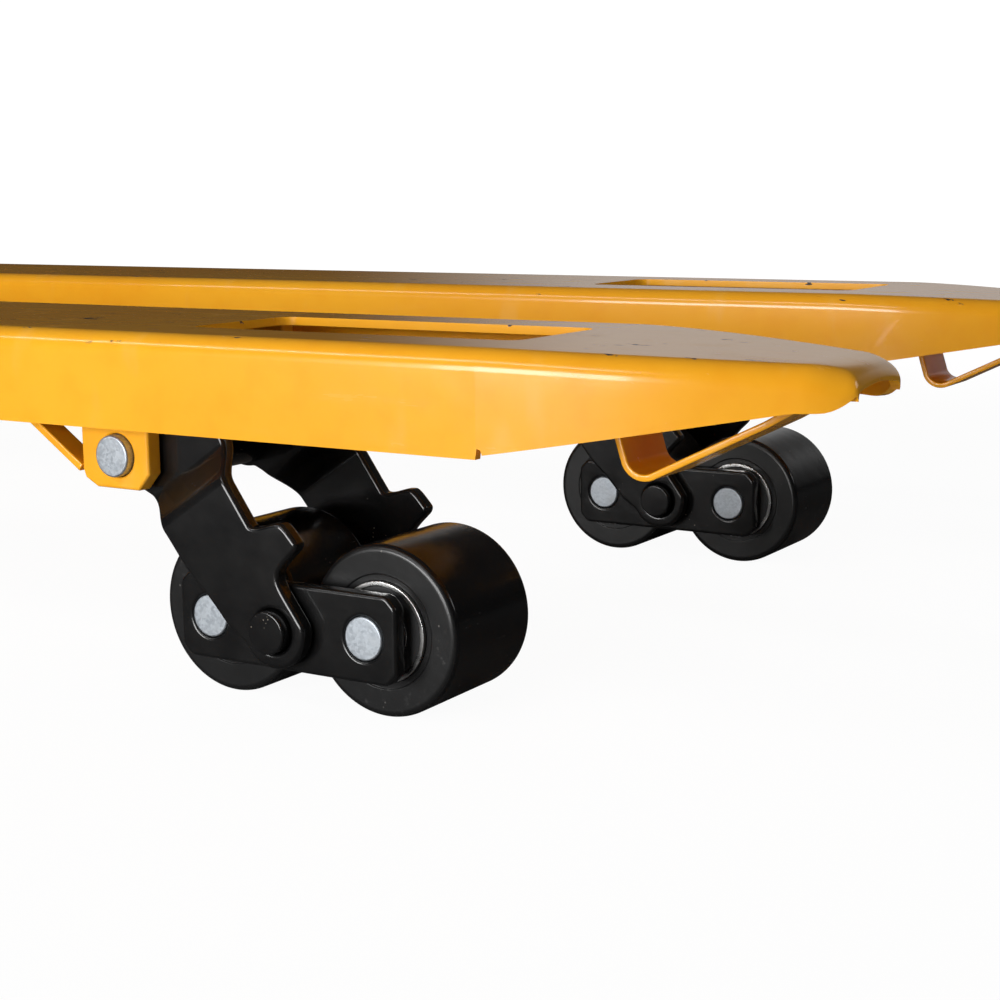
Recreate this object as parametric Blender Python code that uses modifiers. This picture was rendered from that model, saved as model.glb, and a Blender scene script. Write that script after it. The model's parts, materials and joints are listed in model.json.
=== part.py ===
"""A hand pallet truck with its forks raised, in metres, +Z up, +X towards the fork tips.

The origin is on the floor under the middle of the truck. Right is -Y. Heights are for the raised rest pose.
"""

from math import asin, atan2, cos, degrees, pi, radians, sin

import bmesh
import bpy
from mathutils import Euler, Matrix, Vector

GAP = 0.0003

# Forks
FORK_LENGTH = 1.150
FORK_WIDTH = 0.150
FORK_SPACING = 0.390
FORK_TOP = 0.174
FORK_BOTTOM = 0.1296
FORK_HEEL_BOTTOM = 0.114
FORK_SHEET = 0.004
FORK_ROUNDING = 0.009
FORK_TAIL = 0.060
TAIL_DROP = 0.0008
HEEL_DEEP_RUN = 0.120
HEEL_SLOPE_RUN = 0.160
NOSE_OVERHANG = 0.262
NOSE_RADIUS = 0.022
NOSE_DROP = 0.0045
TIP_SEAM = 0.1225
WINDOW = (-0.060, 0.118, 0.036)
STRIP_WIDTH, STRIP_SHEET = 0.038, 0.003
RAMP_WIDTH = 0.013
LIFT_BELOW_REST = 0.089

# Load rollers, from the bogie centre
ROLLER_RADIUS = 0.040
ROLLER_WIDTH = 0.064
AXLE_OFFSET = 0.044
PIN_RADIUS = 0.010
BEARING_RADIUS, BEARING_HALF = 0.0235, 0.0335
LINK_HALF = (0.0615, 0.0205)
LINK_INNER, LINK_OUTER = 0.039, 0.047
CENTRE_PIN_INNER, CENTRE_PIN_OUTER = 0.0375, 0.061

# Roller arms, from the fork's centreline outwards
ARM_SHEET = 0.008
ARM_INNER, ARM_OUTER = 0.048, 0.056
ARM_JOGGLE = 0.0105
JOGGLE_RUN = 0.014
JOGGLE_NORMAL = (-0.555, 0, 0.832)
JOGGLE_START = (-0.0620, 0.0855)
LUG_INNER, LUG_OUTER = 0.047, 0.056
LUG_PIN = (-0.0897, 0.114)
PIVOT_PIN_HALF = 0.0598
LEVER = 0.038
LEVER_ANGLE = radians(15)
ROD_PIN_RADIUS = 0.007
SLEEVE_RADIUS = 0.016

# Rocker, which turns the yoke's drop into the push of the rods
ROCKER_ARM = 0.107
ROCKER_LEVER = 0.036
ROCKER_ANGLE = asin(LIFT_BELOW_REST / 2 / ROCKER_ARM)
ROCKER_TUBE_RADIUS = 0.014
ROCKER_EYE_RADIUS = 0.006
YOKE_PIN_RADIUS = 0.007
ROCKER_BEHIND_HEEL = 0.026
ROCKER_Z = 0.153
STEER_BEHIND_ROCKER = 0.242

# Crosshead
SEAT_Z = 0.465
BEAM_HALF = 0.042
GUSSET_Y, GUSSET_SHEET = 0.0365, 0.007

# Steering and handle
WHEEL_RADIUS = 0.090
WHEEL_WIDTH = 0.050
WHEEL_INNER = 0.026
HANDLE_BEHIND_STEER = 0.075
HANDLE_Z = 0.285
HANDLE_LEAN = radians(4)
HANDLE_TOP = 1.200
TUBE_RADIUS = 0.016
RAM_RADIUS = 0.017
RAM_FOOT = 0.326
CYLINDER_TOP = 0.372

# The truck's length runs from the fork tips to the back of the handle loop.
LOOP_RADIUS = 0.012
LENGTH = 1.5682
NOSE_X = LENGTH / 2
HEEL_X = NOSE_X - FORK_LENGTH
BOGIE_X = NOSE_X - NOSE_OVERHANG
FORK_Y = FORK_SPACING / 2
ROCKER_X = HEEL_X - ROCKER_BEHIND_HEEL
STEER_X = ROCKER_X - STEER_BEHIND_ROCKER
HINGE_X = STEER_X - HANDLE_BEHIND_STEER

LEVER_TOP = (LUG_PIN[0] + LEVER * sin(LEVER_ANGLE), LUG_PIN[1] + LEVER * cos(LEVER_ANGLE))
ROD_EYE = (ROCKER_X + ROCKER_LEVER * sin(ROCKER_ANGLE), ROCKER_Z - ROCKER_LEVER * cos(ROCKER_ANGLE))
YOKE_EYE = (ROCKER_X - ROCKER_ARM * cos(ROCKER_ANGLE), ROCKER_Z - ROCKER_ARM * sin(ROCKER_ANGLE))



def up_handle(height, forward=0.0):
    """A world point in the handle's middle plane, by its distance along the leaning tube from the hinge."""
    return (
        HINGE_X - height * sin(HANDLE_LEAN) + forward * cos(HANDLE_LEAN),
        0,
        HANDLE_Z + height * cos(HANDLE_LEAN) + forward * sin(HANDLE_LEAN),
    )


CHEEK_Y = 0.0405
TOE = (-0.024, -0.004)
TOE_RADIUS = 0.009
TOE_X, _, TOE_Z = up_handle(TOE[1], TOE[0])
LOOP_TOP = (HANDLE_TOP - LOOP_RADIUS - HANDLE_Z) / cos(HANDLE_LEAN)
LOOP_HEIGHT = 0.130
LOOP_BOTTOM = LOOP_TOP - LOOP_HEIGHT
NECK_LENGTH = 0.060

for old in list(bpy.data.objects):
    bpy.data.objects.remove(old, do_unlink=True)

TRUCK = bpy.data.collections.new("hand_pallet_truck")
CUTTERS = bpy.data.collections.new("cutters")
for group in (TRUCK, CUTTERS):
    bpy.context.scene.collection.children.link(group)


def paint(name, colour, roughness, metallic):
    material = bpy.data.materials.new(name)
    material.use_nodes = True
    shader = material.node_tree.nodes["Principled BSDF"]
    shader.inputs["Base Color"].default_value = (*colour, 1)
    shader.inputs["Roughness"].default_value = roughness
    shader.inputs["Metallic"].default_value = metallic
    material.diffuse_color = (*colour, 1)
    return material


YELLOW = paint("yellow_powder_coat", (1.0, 0.47, 0.03), 0.3, 0.0)
BLACK = paint("black_paint", (0.012, 0.012, 0.013), 0.3, 0.0)
ZINC = paint("zinc_plate", (0.62, 0.66, 0.68), 0.4, 0.9)
STEEL = paint("bearing_steel", (0.45, 0.46, 0.47), 0.3, 1.0)
CHROME = paint("hard_chrome", (0.75, 0.76, 0.78), 0.12, 1.0)
TYRE = paint("black_polyurethane", (0.014, 0.014, 0.015), 0.5, 0.0)
RUBBER = paint("grip_rubber", (0.02, 0.02, 0.021), 0.65, 0.0)


# Objects, meshes and outlines


def side_name(side):
    return "right" if side < 0 else "left"


def empty(name, at, parent=None):
    marker = bpy.data.objects.new(name, None)
    marker.empty_display_size = 0.03
    TRUCK.objects.link(marker)
    attach(marker, at, parent)
    return marker


def attach(obj, at, parent=None):
    """Puts the object's origin at a world point, under its parent."""
    origin = Vector(parent["at"]) if parent else Vector()
    obj.parent = parent
    obj.location = Vector(at) - origin
    obj["at"] = tuple(at)


def add(name, mesh, at, material=None, parent=None):
    """Links a mesh as a part, or as a hidden cutter when it has no material."""
    obj = bpy.data.objects.new(name, mesh)
    (TRUCK if material else CUTTERS).objects.link(obj)
    attach(obj, at, parent)
    if material:
        mesh.materials.append(material)
    else:
        obj.hide_render = True
        obj.display_type = "WIRE"
    return obj


def finish(bm, name):
    mesh = bpy.data.meshes.new(name)
    bmesh.ops.recalc_face_normals(bm, faces=bm.faces)
    bm.to_mesh(mesh)
    bm.free()
    mesh.shade_smooth()
    mesh.set_sharp_from_angle(angle=radians(35))
    return mesh


def turn_to(axis):
    return {
        "X": Matrix.Rotation(pi / 2, 4, "Y"),
        "Y": Matrix.Rotation(-pi / 2, 4, "X"),
        "Z": Matrix.Identity(4),
    }[axis]


def rod(name, radius, length, axis, at, material=None, parent=None, sides=20):
    bm = bmesh.new()
    bmesh.ops.create_cone(
        bm, cap_ends=True, segments=sides, radius1=radius, radius2=radius, depth=length, matrix=turn_to(axis)
    )
    return add(name, finish(bm, name), at, material, parent)


def block(name, low, high, at, material=None, parent=None):
    low, high = Vector(low), Vector(high)
    bm = bmesh.new()
    size = Matrix.Diagonal((*(high - low), 1))
    bmesh.ops.create_cube(bm, size=1, matrix=Matrix.Translation((low + high) / 2) @ size)
    return add(name, finish(bm, name), at, material, parent)


def turned(name, profile, axis, at, material, parent=None, sides=32):
    """A ring from a closed (radius, height) profile, which runs down its outer side."""
    mesh = bpy.data.meshes.new(name)
    points = [(radius, 0, height) for radius, height in profile]
    mesh.from_pydata(points, [(i, (i + 1) % len(points)) for i in range(len(points))], [])
    obj = add(name, mesh, at, material, parent)
    obj.rotation_euler = turn_to(axis).to_euler()
    screw = obj.modifiers.new("turn", "SCREW")
    screw.steps = screw.render_steps = sides
    screw.use_merge_vertices = True
    screw.merge_threshold = 0.00001
    return obj


def arc(centre, radius, start, end, steps):
    """Points from one angle to another, in degrees, about a centre."""
    angles = [radians(start + (end - start) * i / steps) for i in range(steps + 1)]
    return [(centre[0] + radius * cos(a), centre[1] + radius * sin(a)) for a in angles]


def circle(centre, radius, steps=20):
    return arc(centre, radius, 0, 360, steps)[:-1]


def capsule(start, end, start_radius, end_radius, steps=6):
    """The outline round two circles, as of a lever with an eye at each end."""
    run = Vector(end) - Vector(start)
    heading = degrees(atan2(run.y, run.x))
    lean = degrees(asin((start_radius - end_radius) / run.length))
    return arc(end, end_radius, heading - 90 + lean, heading + 90 - lean, steps) + arc(
        start, start_radius, heading + 90 - lean, heading + 270 + lean, steps
    )


def rounded(corners, radius, steps=3):
    """An outline with each corner replaced by an arc."""
    outline = []
    for i, corner in enumerate(corners):
        here = Vector(corner)
        back = (Vector(corners[i - 1]) - here).normalized()
        on = (Vector(corners[(i + 1) % len(corners)]) - here).normalized()
        half = back.angle(on) / 2
        centre = here + (back + on).normalized() * radius / sin(half)
        first = here + back * radius / (sin(half) / cos(half)) - centre
        last = here + on * radius / (sin(half) / cos(half)) - centre
        begin = atan2(first.y, first.x)
        sweep = (atan2(last.y, last.x) - begin + pi) % (2 * pi) - pi
        outline += arc(centre, radius, degrees(begin), degrees(begin + sweep), steps)
    return outline


def rectangle(centre, half_width, half_height):
    x, z = centre
    return [
        (x - half_width, z - half_height), (x + half_width, z - half_height),
        (x + half_width, z + half_height), (x - half_width, z + half_height),
    ]


def sheet(outline, holes, thickness, normal):
    """A closed mesh cut from flat sheet: the outline is in XZ for a +Y normal, YZ for +X, and XY for +Z."""
    curve = bpy.data.curves.new("outline", "CURVE")
    curve.dimensions = "2D"
    curve.fill_mode = "BOTH"
    curve.extrude = thickness / 2
    for loop in [outline, *holes]:
        spline = curve.splines.new("POLY")
        spline.points.add(len(loop) - 1)
        spline.use_cyclic_u = True
        for point, (x, y) in zip(spline.points, loop):
            point.co = (x, y, 0, 1)
    flat = bpy.data.objects.new("outline", curve)
    bpy.context.scene.collection.objects.link(flat)
    bpy.context.view_layer.update()
    mesh = bpy.data.meshes.new_from_object(flat.evaluated_get(bpy.context.evaluated_depsgraph_get()))
    bpy.data.objects.remove(flat, do_unlink=True)
    bm = bmesh.new()
    bm.from_mesh(mesh)
    bmesh.ops.remove_doubles(bm, verts=bm.verts, dist=0.000001)
    bmesh.ops.dissolve_limit(bm, angle_limit=radians(0.5), verts=bm.verts, edges=bm.edges)
    bmesh.ops.triangulate(bm, faces=[face for face in bm.faces if len(face.verts) > 4])
    axes = {
        "Y": ((1, 0, 0), (0, 0, 1), (0, -1, 0)),
        "X": ((0, 1, 0), (0, 0, 1), (1, 0, 0)),
        "Z": ((1, 0, 0), (0, 1, 0), (0, 0, 1)),
    }
    bmesh.ops.transform(bm, matrix=Matrix(axes[normal]).transposed().to_4x4(), verts=bm.verts)
    return bm


def plate(name, outline, thickness, at, material=None, parent=None, holes=(), normal="Y"):
    return add(name, finish(sheet(outline, holes, thickness, normal), name), at, material, parent)


def strip(name, path, width, thickness, at, material, parent=None):
    """A flat bar bent along a path in XZ."""
    left, right = [], []
    for i, point in enumerate(path):
        before, after = Vector(path[max(i - 1, 0)]), Vector(path[min(i + 1, len(path) - 1)])
        run = (after - before).normalized()
        side = Vector((-run.y, run.x)) * thickness / 2
        left.append(tuple(Vector(point) + side))
        right.append(tuple(Vector(point) - side))
    return plate(name, right + left[::-1], width, at, material, parent)


def combine(target, operation, *others):
    for other in others:
        modifier = target.modifiers.new(other.name, "BOOLEAN")
        modifier.operation = operation
        modifier.object = other
        modifier.solver = "EXACT"
    return target


def cut(target, *others):
    return combine(target, "DIFFERENCE", *others)


def weld(target, *others):
    return combine(target, "UNION", *others)


# Forks


def tip_stations():
    """(x, half width, top, bottom) along the tapered tip, from its seam to the rounded nose."""
    half, bottom, nose_half, nose_bottom = FORK_WIDTH / 2, 0.1315, 0.0405, 0.151
    nose_start = NOSE_OVERHANG - NOSE_RADIUS
    stations = [(TIP_SEAM, half, FORK_TOP, 0.1340), (TIP_SEAM + 0.002, half - 0.0002, FORK_TOP, bottom)]
    for share in (0.2, 0.4, 0.6, 0.8, 1.0):
        x = TIP_SEAM + (nose_start - TIP_SEAM) * share
        narrow = half - (half - nose_half) * share**1.5
        stations.append((x, narrow, FORK_TOP - NOSE_DROP * share, bottom + (nose_bottom - bottom) * share))
    for turn in (30, 55, 80):
        ahead, down = sin(radians(turn)), 1 - cos(radians(turn))
        top = FORK_TOP - NOSE_DROP - 0.0135 * down
        stations.append((nose_start + 0.0222 * ahead, nose_half - 0.016 * down, top, nose_bottom + 0.0005))
    return stations


def fork(side):
    """A bent sheet channel: an open skin lofted from tail to nose, then thickened inwards.

    Its top falls away a little behind the heel, where the crosshead lies on it.
    """
    name = side_name(side) + "_fork"
    half = FORK_WIDTH / 2
    tail = HEEL_X - FORK_TAIL - BOGIE_X
    slope = tail + HEEL_DEEP_RUN
    stations = [
        (tail, half, FORK_TOP - TAIL_DROP, FORK_HEEL_BOTTOM),
        (tail + FORK_TAIL + GAP, half, FORK_TOP, FORK_HEEL_BOTTOM),
        (slope, half, FORK_TOP, FORK_HEEL_BOTTOM),
        (slope + HEEL_SLOPE_RUN, half, FORK_TOP, FORK_BOTTOM),
        (TIP_SEAM - 0.002, half, FORK_TOP, FORK_BOTTOM),
        *tip_stations(),
    ]
    bm = bmesh.new()
    rows = []
    for x, width, top, bottom in stations:
        bend = min(FORK_ROUNDING, (top - bottom) * 0.7)
        corner = arc((width - bend, top - bend), bend, 0, 90, 2)
        section = [(width, bottom), *corner]
        section += [(-y, z) for y, z in reversed(section)]
        rows.append([bm.verts.new((x, y, z)) for y, z in section])
    for row, after in zip(rows, rows[1:]):
        for i in range(len(row) - 1):
            bm.faces.new((row[i], row[i + 1], after[i + 1], after[i]))
    mesh = finish(bm, name)
    obj = add(name, mesh, (BOGIE_X, side * FORK_Y, 0), YELLOW, FRAME)
    thicken = obj.modifiers.new("sheet", "SOLIDIFY")
    thicken.thickness = FORK_SHEET
    thicken.offset = -1 if mesh.polygons[2].normal.z > 0 else 1
    low, high, window_half = WINDOW
    window = rounded(rectangle(((low + high) / 2, 0), (high - low) / 2, window_half), 0.012)
    outer, inner = (ROCKER_X, side * (FORK_Y + half), ROCKER_Z), (ROCKER_X, side * (FORK_Y - half), ROCKER_Z)
    return cut(
        obj,
        plate(name + "_window", window, 0.04, (BOGIE_X, side * FORK_Y, FORK_TOP), normal="Z"),
        rod(name + "_shaft_hole", PIN_RADIUS + GAP, 0.02, "Y", outer),
        rod(name + "_tube_hole", ROCKER_TUBE_RADIUS + 2 * GAP, 0.02, "Y", inner),
    )


def entry_strip(side):
    name = side_name(side) + "_entry_strip"
    bend = arc((0.1680, 0.1272), 0.0095, 205, 300, 5)
    path = [(0.150, 0.158), (0.1565, 0.1325), *bend, (0.222, 0.1432), (0.240, 0.1535)]
    return strip(name, path, STRIP_WIDTH, STRIP_SHEET, (BOGIE_X, side * FORK_Y, 0), YELLOW, FRAME)


# Roller gear of one fork


def lug(side, where, offset):
    """A plate under the fork's top sheet that holds the arm's pivot pin."""
    front, rear, top = -0.070, -0.112, FORK_TOP - FORK_SHEET - GAP
    foot = [(rear, 0.106), (-0.1105, 0.102), (-0.103, 0.098), (-0.077, 0.098), (front, 0.106)]
    outline = [(rear, top), *foot, (front, top)]
    hole = circle(LUG_PIN, PIN_RADIUS + GAP)
    name = f"{side_name(side)}_{where}_lug"
    at = (BOGIE_X, side * FORK_Y + offset, 0)
    return plate(name, outline, LUG_OUTER - LUG_INNER, at, YELLOW, FRAME, [hole])


def lug_ramp(side):
    """A bar from the top sheet down to the outer lug, which lets a pallet board slide past the lug."""
    path = [(-0.203, 0.1665), (-0.193, 0.1605), (-0.1135, 0.1065)]
    at = (BOGIE_X, side * (FORK_Y + LUG_OUTER - RAMP_WIDTH / 2), 0)
    return strip(side_name(side) + "_lug_ramp", path, RAMP_WIDTH, FORK_SHEET, at, YELLOW, FRAME)


def arm_outline():
    """The arm plate about the bogie centre: foot, hook, front edge, lever eye, pivot eye and rear edge."""
    foot = arc((0, ROLLER_RADIUS), 0.0178, 205, 372, 6)
    front = [(0.0098, 0.0540), (0.0038, 0.0622), (0.0036, 0.0680), (0.0143, 0.0784)]
    hook = [(0.0151, 0.0812), (0.0082, 0.0888), (0.0045, 0.0905), (-0.0074, 0.0867), (-0.0112, 0.0868)]
    neck = [(-0.0265, 0.1085), (-0.0340, 0.1240), (-0.0400, 0.1350), (-0.0640, 0.1600)]
    lever = arc(LEVER_TOP, 0.0140, 40, 180, 4)
    pivot = arc(LUG_PIN, 0.0180, 170, 320, 5)
    rear = [
        (-0.0735, 0.0950), (-0.0660, 0.0880), (-0.0610, 0.0800),
        (-0.0484, 0.0610), (-0.0384, 0.0530), (-0.0270, 0.0400),
    ]
    return foot + front + hook + neck + lever + pivot + rear


def arm_plate(side, where, inwards):
    """A lever plate whose upper part steps inwards, past the lug, over a slanting joggle."""
    x, z = LUG_PIN
    outline, *holes = [
        [(px - x, pz - z) for px, pz in loop]
        for loop in (
            arm_outline(),
            circle(LUG_PIN, PIN_RADIUS + GAP),
            circle((0, ROLLER_RADIUS), PIN_RADIUS + GAP),
            circle(LEVER_TOP, ROD_PIN_RADIUS + GAP, 16),
        )
    ]
    bm = sheet(outline, holes, ARM_SHEET, "Y")
    across = Vector(JOGGLE_NORMAL).normalized()
    lower = Vector((JOGGLE_START[0] - x, 0, JOGGLE_START[1] - z)).dot(across)
    upper = lower + JOGGLE_RUN
    for distance in (lower, upper):
        everything = bm.verts[:] + bm.edges[:] + bm.faces[:]
        plane = {"plane_co": across * distance, "plane_no": across, "dist": 0.0000005}
        bmesh.ops.bisect_plane(bm, geom=everything, **plane)
    for vert in bm.verts:
        share = min(max((vert.co.dot(across) - lower) / (upper - lower), 0), 1)
        vert.co.y += inwards * ARM_JOGGLE * share
    name = f"{side_name(side)}_{where}_arm_plate"
    middle = (ARM_INNER + ARM_OUTER) / 2
    at = (BOGIE_X + x, side * FORK_Y - inwards * middle, z)
    return add(name, finish(bm, name), at, BLACK, ARMS[side])


def link_plate(side, where, offset):
    along, up = LINK_HALF
    corner = 0.006
    outline = [
        (-along, corner - up), (corner - along, -up), (along - corner, -up), (along, corner - up),
        (along, up - corner), (along - corner, up), (corner - along, up), (-along, up - corner),
    ]
    holes = [circle((x, 0), PIN_RADIUS + GAP) for x in (-AXLE_OFFSET, 0, AXLE_OFFSET)]
    at = (BOGIE_X, side * FORK_Y + offset, ROLLER_RADIUS)
    name = f"{side_name(side)}_{where}_link"
    return plate(name, outline, LINK_OUTER - LINK_INNER, at, BLACK, BOGIES[side], holes)


def ring_profile(bore, radius, half, edge):
    """A closed profile with its outer edges cut off at 45 degrees."""
    upper = [(bore, half), (radius - edge, half), (radius, half - edge)]
    return upper + [(r, -z) for r, z in reversed(upper)]


def roller(side, where, x):
    name = f"{side_name(side)}_{where}"
    at = (BOGIE_X + x, side * FORK_Y, ROLLER_RADIUS)
    spin = empty(name + "_roller_spin", at, BOGIES[side])
    tread = ring_profile(BEARING_RADIUS + GAP, ROLLER_RADIUS, ROLLER_WIDTH / 2, 0.003)
    turned(name + "_roller", tread, "Y", at, TYRE, spin, 28)
    races = ring_profile(PIN_RADIUS + GAP, BEARING_RADIUS, BEARING_HALF, 0.001)
    turned(name + "_bearings", races, "Y", at, STEEL, spin, 20)
    rod(name + "_axle", PIN_RADIUS, 2 * LINK_OUTER, "Y", at, ZINC, BOGIES[side])


def push_rod(side):
    """A flat bar with a round eye on the arm lever and an upright slot on the rocker's pin."""
    name = f"{side_name(side)}_push_rod"
    at = (BOGIE_X + LEVER_TOP[0], side * FORK_Y, LEVER_TOP[1])
    front = (0, 0)
    back = (ROD_EYE[0] - at[0], ROD_EYE[1] - at[2])
    bar = capsule(front, back, 0.0125, 0.0095)
    eye = rounded(rectangle(back, 0.0125, 0.0158), 0.006, 2)
    slot = rounded(rectangle(back, 0.0072, 0.0108), 0.005, 2)
    obj = plate(name, bar, 0.0150, at, BLACK, RODS[side], [circle(front, ROD_PIN_RADIUS + GAP, 16)])
    weld(obj, plate(name + "_eye", eye, 0.0160, at))
    return cut(obj, plate(name + "_slot", slot, 0.0300, at))


def roller_gear(side):
    x, y, z = BOGIE_X, side * FORK_Y, ROLLER_RADIUS
    name = side_name(side)
    stub, stub_length = (CENTRE_PIN_INNER + CENTRE_PIN_OUTER) / 2, CENTRE_PIN_OUTER - CENTRE_PIN_INNER
    for where, outwards in (("outer", side), ("inner", -side)):
        lug(side, where, outwards * (LUG_INNER + LUG_OUTER) / 2)
        arm_plate(side, where, -outwards)
        at = (x, y + outwards * stub, z)
        rod(f"{name}_{where}_centre_pin", PIN_RADIUS, stub_length, "Y", at, BLACK, CENTRES[side])
        link_plate(side, where, outwards * (LINK_INNER + LINK_OUTER) / 2)
    pivot = (x + LUG_PIN[0], y, LUG_PIN[1])
    inner_face = ARM_INNER - ARM_JOGGLE
    rod(name + "_pivot_pin", PIN_RADIUS, 2 * PIVOT_PIN_HALF, "Y", pivot, ZINC, FRAME)
    bore, sleeve = PIN_RADIUS + GAP, inner_face - GAP
    tube = [(bore, sleeve), (SLEEVE_RADIUS, sleeve), (SLEEVE_RADIUS, -sleeve), (bore, -sleeve)]
    turned(name + "_arm_sleeve", tube, "Y", pivot, BLACK, ARMS[side], 24)
    lever = (x + LEVER_TOP[0], y, LEVER_TOP[1])
    pin_length = 2 * (inner_face + ARM_SHEET) - 0.001
    rod(name + "_rod_pin", ROD_PIN_RADIUS, pin_length, "Y", lever, ZINC, ARMS[side], 16)
    roller(side, "front", AXLE_OFFSET)
    roller(side, "rear", -AXLE_OFFSET)
    push_rod(side)
    lug_ramp(side)
    entry_strip(side)


# Rear frame, rocker and yoke


def crosshead():
    """The heel plate, its cross member between the forks, two gussets and the beam that rests on the ram."""
    back = HEEL_X - 0.006
    foot, shoulder, top = FORK_TOP + 0.0005, 0.222, SEAT_Z + 0.035
    between = FORK_Y - FORK_WIDTH / 2 - 0.0005
    half = [(0.262, foot), (0.262, shoulder), (0.110, 0.440), (0.085, top)]
    outline = half + [(-y, z) for y, z in reversed(half)]
    heel = plate("crosshead", outline, 0.006, (HEEL_X - 0.003, 0, 0), YELLOW, FRAME, normal="X")
    seat = rounded_end(STEER_X, back + 0.0035, BEAM_HALF)
    beam = plate("crosshead_beam", seat, top - SEAT_Z - 0.002, (0, 0, (top + SEAT_Z) / 2 - 0.001), normal="Z")
    gusset_back, gusset_foot = STEER_X + 0.062, 0.215
    gusset = [
        (back + 0.003, gusset_foot), (back + 0.003, SEAT_Z + 0.010), (gusset_back, SEAT_Z + 0.010),
        (gusset_back, SEAT_Z - 0.012), (back - 0.030, gusset_foot),
    ]
    weld(heel, beam)
    for i, y in enumerate((-GUSSET_Y, GUSSET_Y)):
        weld(heel, plate(f"crosshead_gusset_{i}", gusset, GUSSET_SHEET, (0, y, 0)))
    member_low, member_high = (HEEL_X - 0.0078, -between, 0.132), (HEEL_X - 0.0005, between, foot + 0.008)
    ledge_low, ledge_high = (back - 0.050, -0.258, foot + 0.0002), (back + 0.003, 0.258, foot + 0.006)
    notch_low, notch_high = (back - 0.060, -0.112, foot - 0.01), (back - 0.003, 0.112, foot + 0.02)
    weld(
        heel,
        block("crosshead_ledge", ledge_low, ledge_high, (0, 0, 0)),
        block("crosshead_member", member_low, member_high, (0, 0, 0)),
    )
    return cut(
        heel,
        block("crosshead_notch", notch_low, notch_high, (0, 0, 0)),
        rod("crosshead_socket", RAM_RADIUS + GAP, 0.030, "Z", (STEER_X, 0, SEAT_Z), sides=24),
    )


def rounded_end(x, front, half):
    """A bar in plan with a half-round rear end about x."""
    return arc((x, 0), half, 90, 270, 8) + [(front, -half), (front, half)]


def rocker():
    """A torsion tube with two arms for the yoke and two pairs of short arms that hold the rods' rear pins."""
    at = (ROCKER_X, 0, ROCKER_Z)
    half = FORK_Y + 0.0195
    tube = rod("rocker", ROCKER_TUBE_RADIUS, 2 * half, "Y", at, BLACK, ROCKER, 16)
    hub = 0.0155
    eye = (ROD_EYE[0] - ROCKER_X, ROD_EYE[1] - ROCKER_Z)
    yoke_eye = (YOKE_EYE[0] - ROCKER_X, YOKE_EYE[1] - ROCKER_Z)
    pieces = []
    for side in (-1, 1):
        name = f"rocker_{side_name(side)}"
        for step, offset in (("inner", -0.0125), ("outer", 0.0125)):
            place = (ROCKER_X, side * (FORK_Y + offset), ROCKER_Z)
            pieces.append(plate(f"{name}_{step}_lever", capsule((0, 0), eye, hub, 0.0105), 0.006, place))
        place = (ROD_EYE[0], side * FORK_Y, ROD_EYE[1])
        pieces.append(rod(name + "_rod_pin", ROCKER_EYE_RADIUS, 0.028, "Y", place, sides=16))
        place = (ROCKER_X, side * 0.040, ROCKER_Z)
        pieces.append(plate(name + "_yoke_arm", capsule((0, 0), yoke_eye, hub, 0.0125), 0.010, place))
        place = (YOKE_EYE[0], side * 0.0480, YOKE_EYE[1])
        pieces.append(rod(name + "_yoke_pin", YOKE_PIN_RADIUS, 0.021, "Y", place, sides=16))
    weld(tube, *pieces)
    return cut(tube, rod("rocker_bore", PIN_RADIUS + GAP, 1, "Y", at, sides=16))


def yoke():
    """A flat ring under the pump base with two ears that reach forwards and down, each with a long slot."""
    at = (STEER_X, 0, 0)
    low, high = 0.188, 0.205
    front = 0.150
    ring = arc((0, 0), 0.045, 60, 300, 10) + [(front, -0.058), (front, 0.058)]
    bore = circle((0, 0), 0.0207, 24)
    body = plate("yoke", ring, high - low, (STEER_X, 0, (low + high) / 2), BLACK, YOKE, [bore], "Z")
    rear = STEER_BEHIND_ROCKER - ROCKER_ARM - YOKE_PIN_RADIUS - 0.008
    middle = YOKE_EYE[1]
    slot_front = STEER_BEHIND_ROCKER - ROCKER_ARM * cos(radians(34)) + YOKE_PIN_RADIUS + 0.001
    ear_front, ear_half = slot_front + 0.009, 0.018
    ear = [
        (rear, high - 0.001), (rear, middle - ear_half), (ear_front, middle - ear_half),
        (ear_front, middle + ear_half), (0.165, high - 0.001),
    ]
    slot_low, slot_high = middle - YOKE_PIN_RADIUS - 0.0016, middle + YOKE_PIN_RADIUS + 0.0030
    slot_rear = rear + 0.007
    slot_middle = ((slot_rear + slot_front) / 2, (slot_low + slot_high) / 2)
    slot = rounded(rectangle(slot_middle, (slot_front - slot_rear) / 2, (slot_high - slot_low) / 2), 0.006, 2)
    for side in (-1, 1):
        name = f"yoke_{side_name(side)}_ear"
        weld(body, plate(name, ear, 0.0099, (STEER_X, side * 0.053, 0), holes=[slot]))
    return body


# Pump, steering wheels and handle


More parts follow.
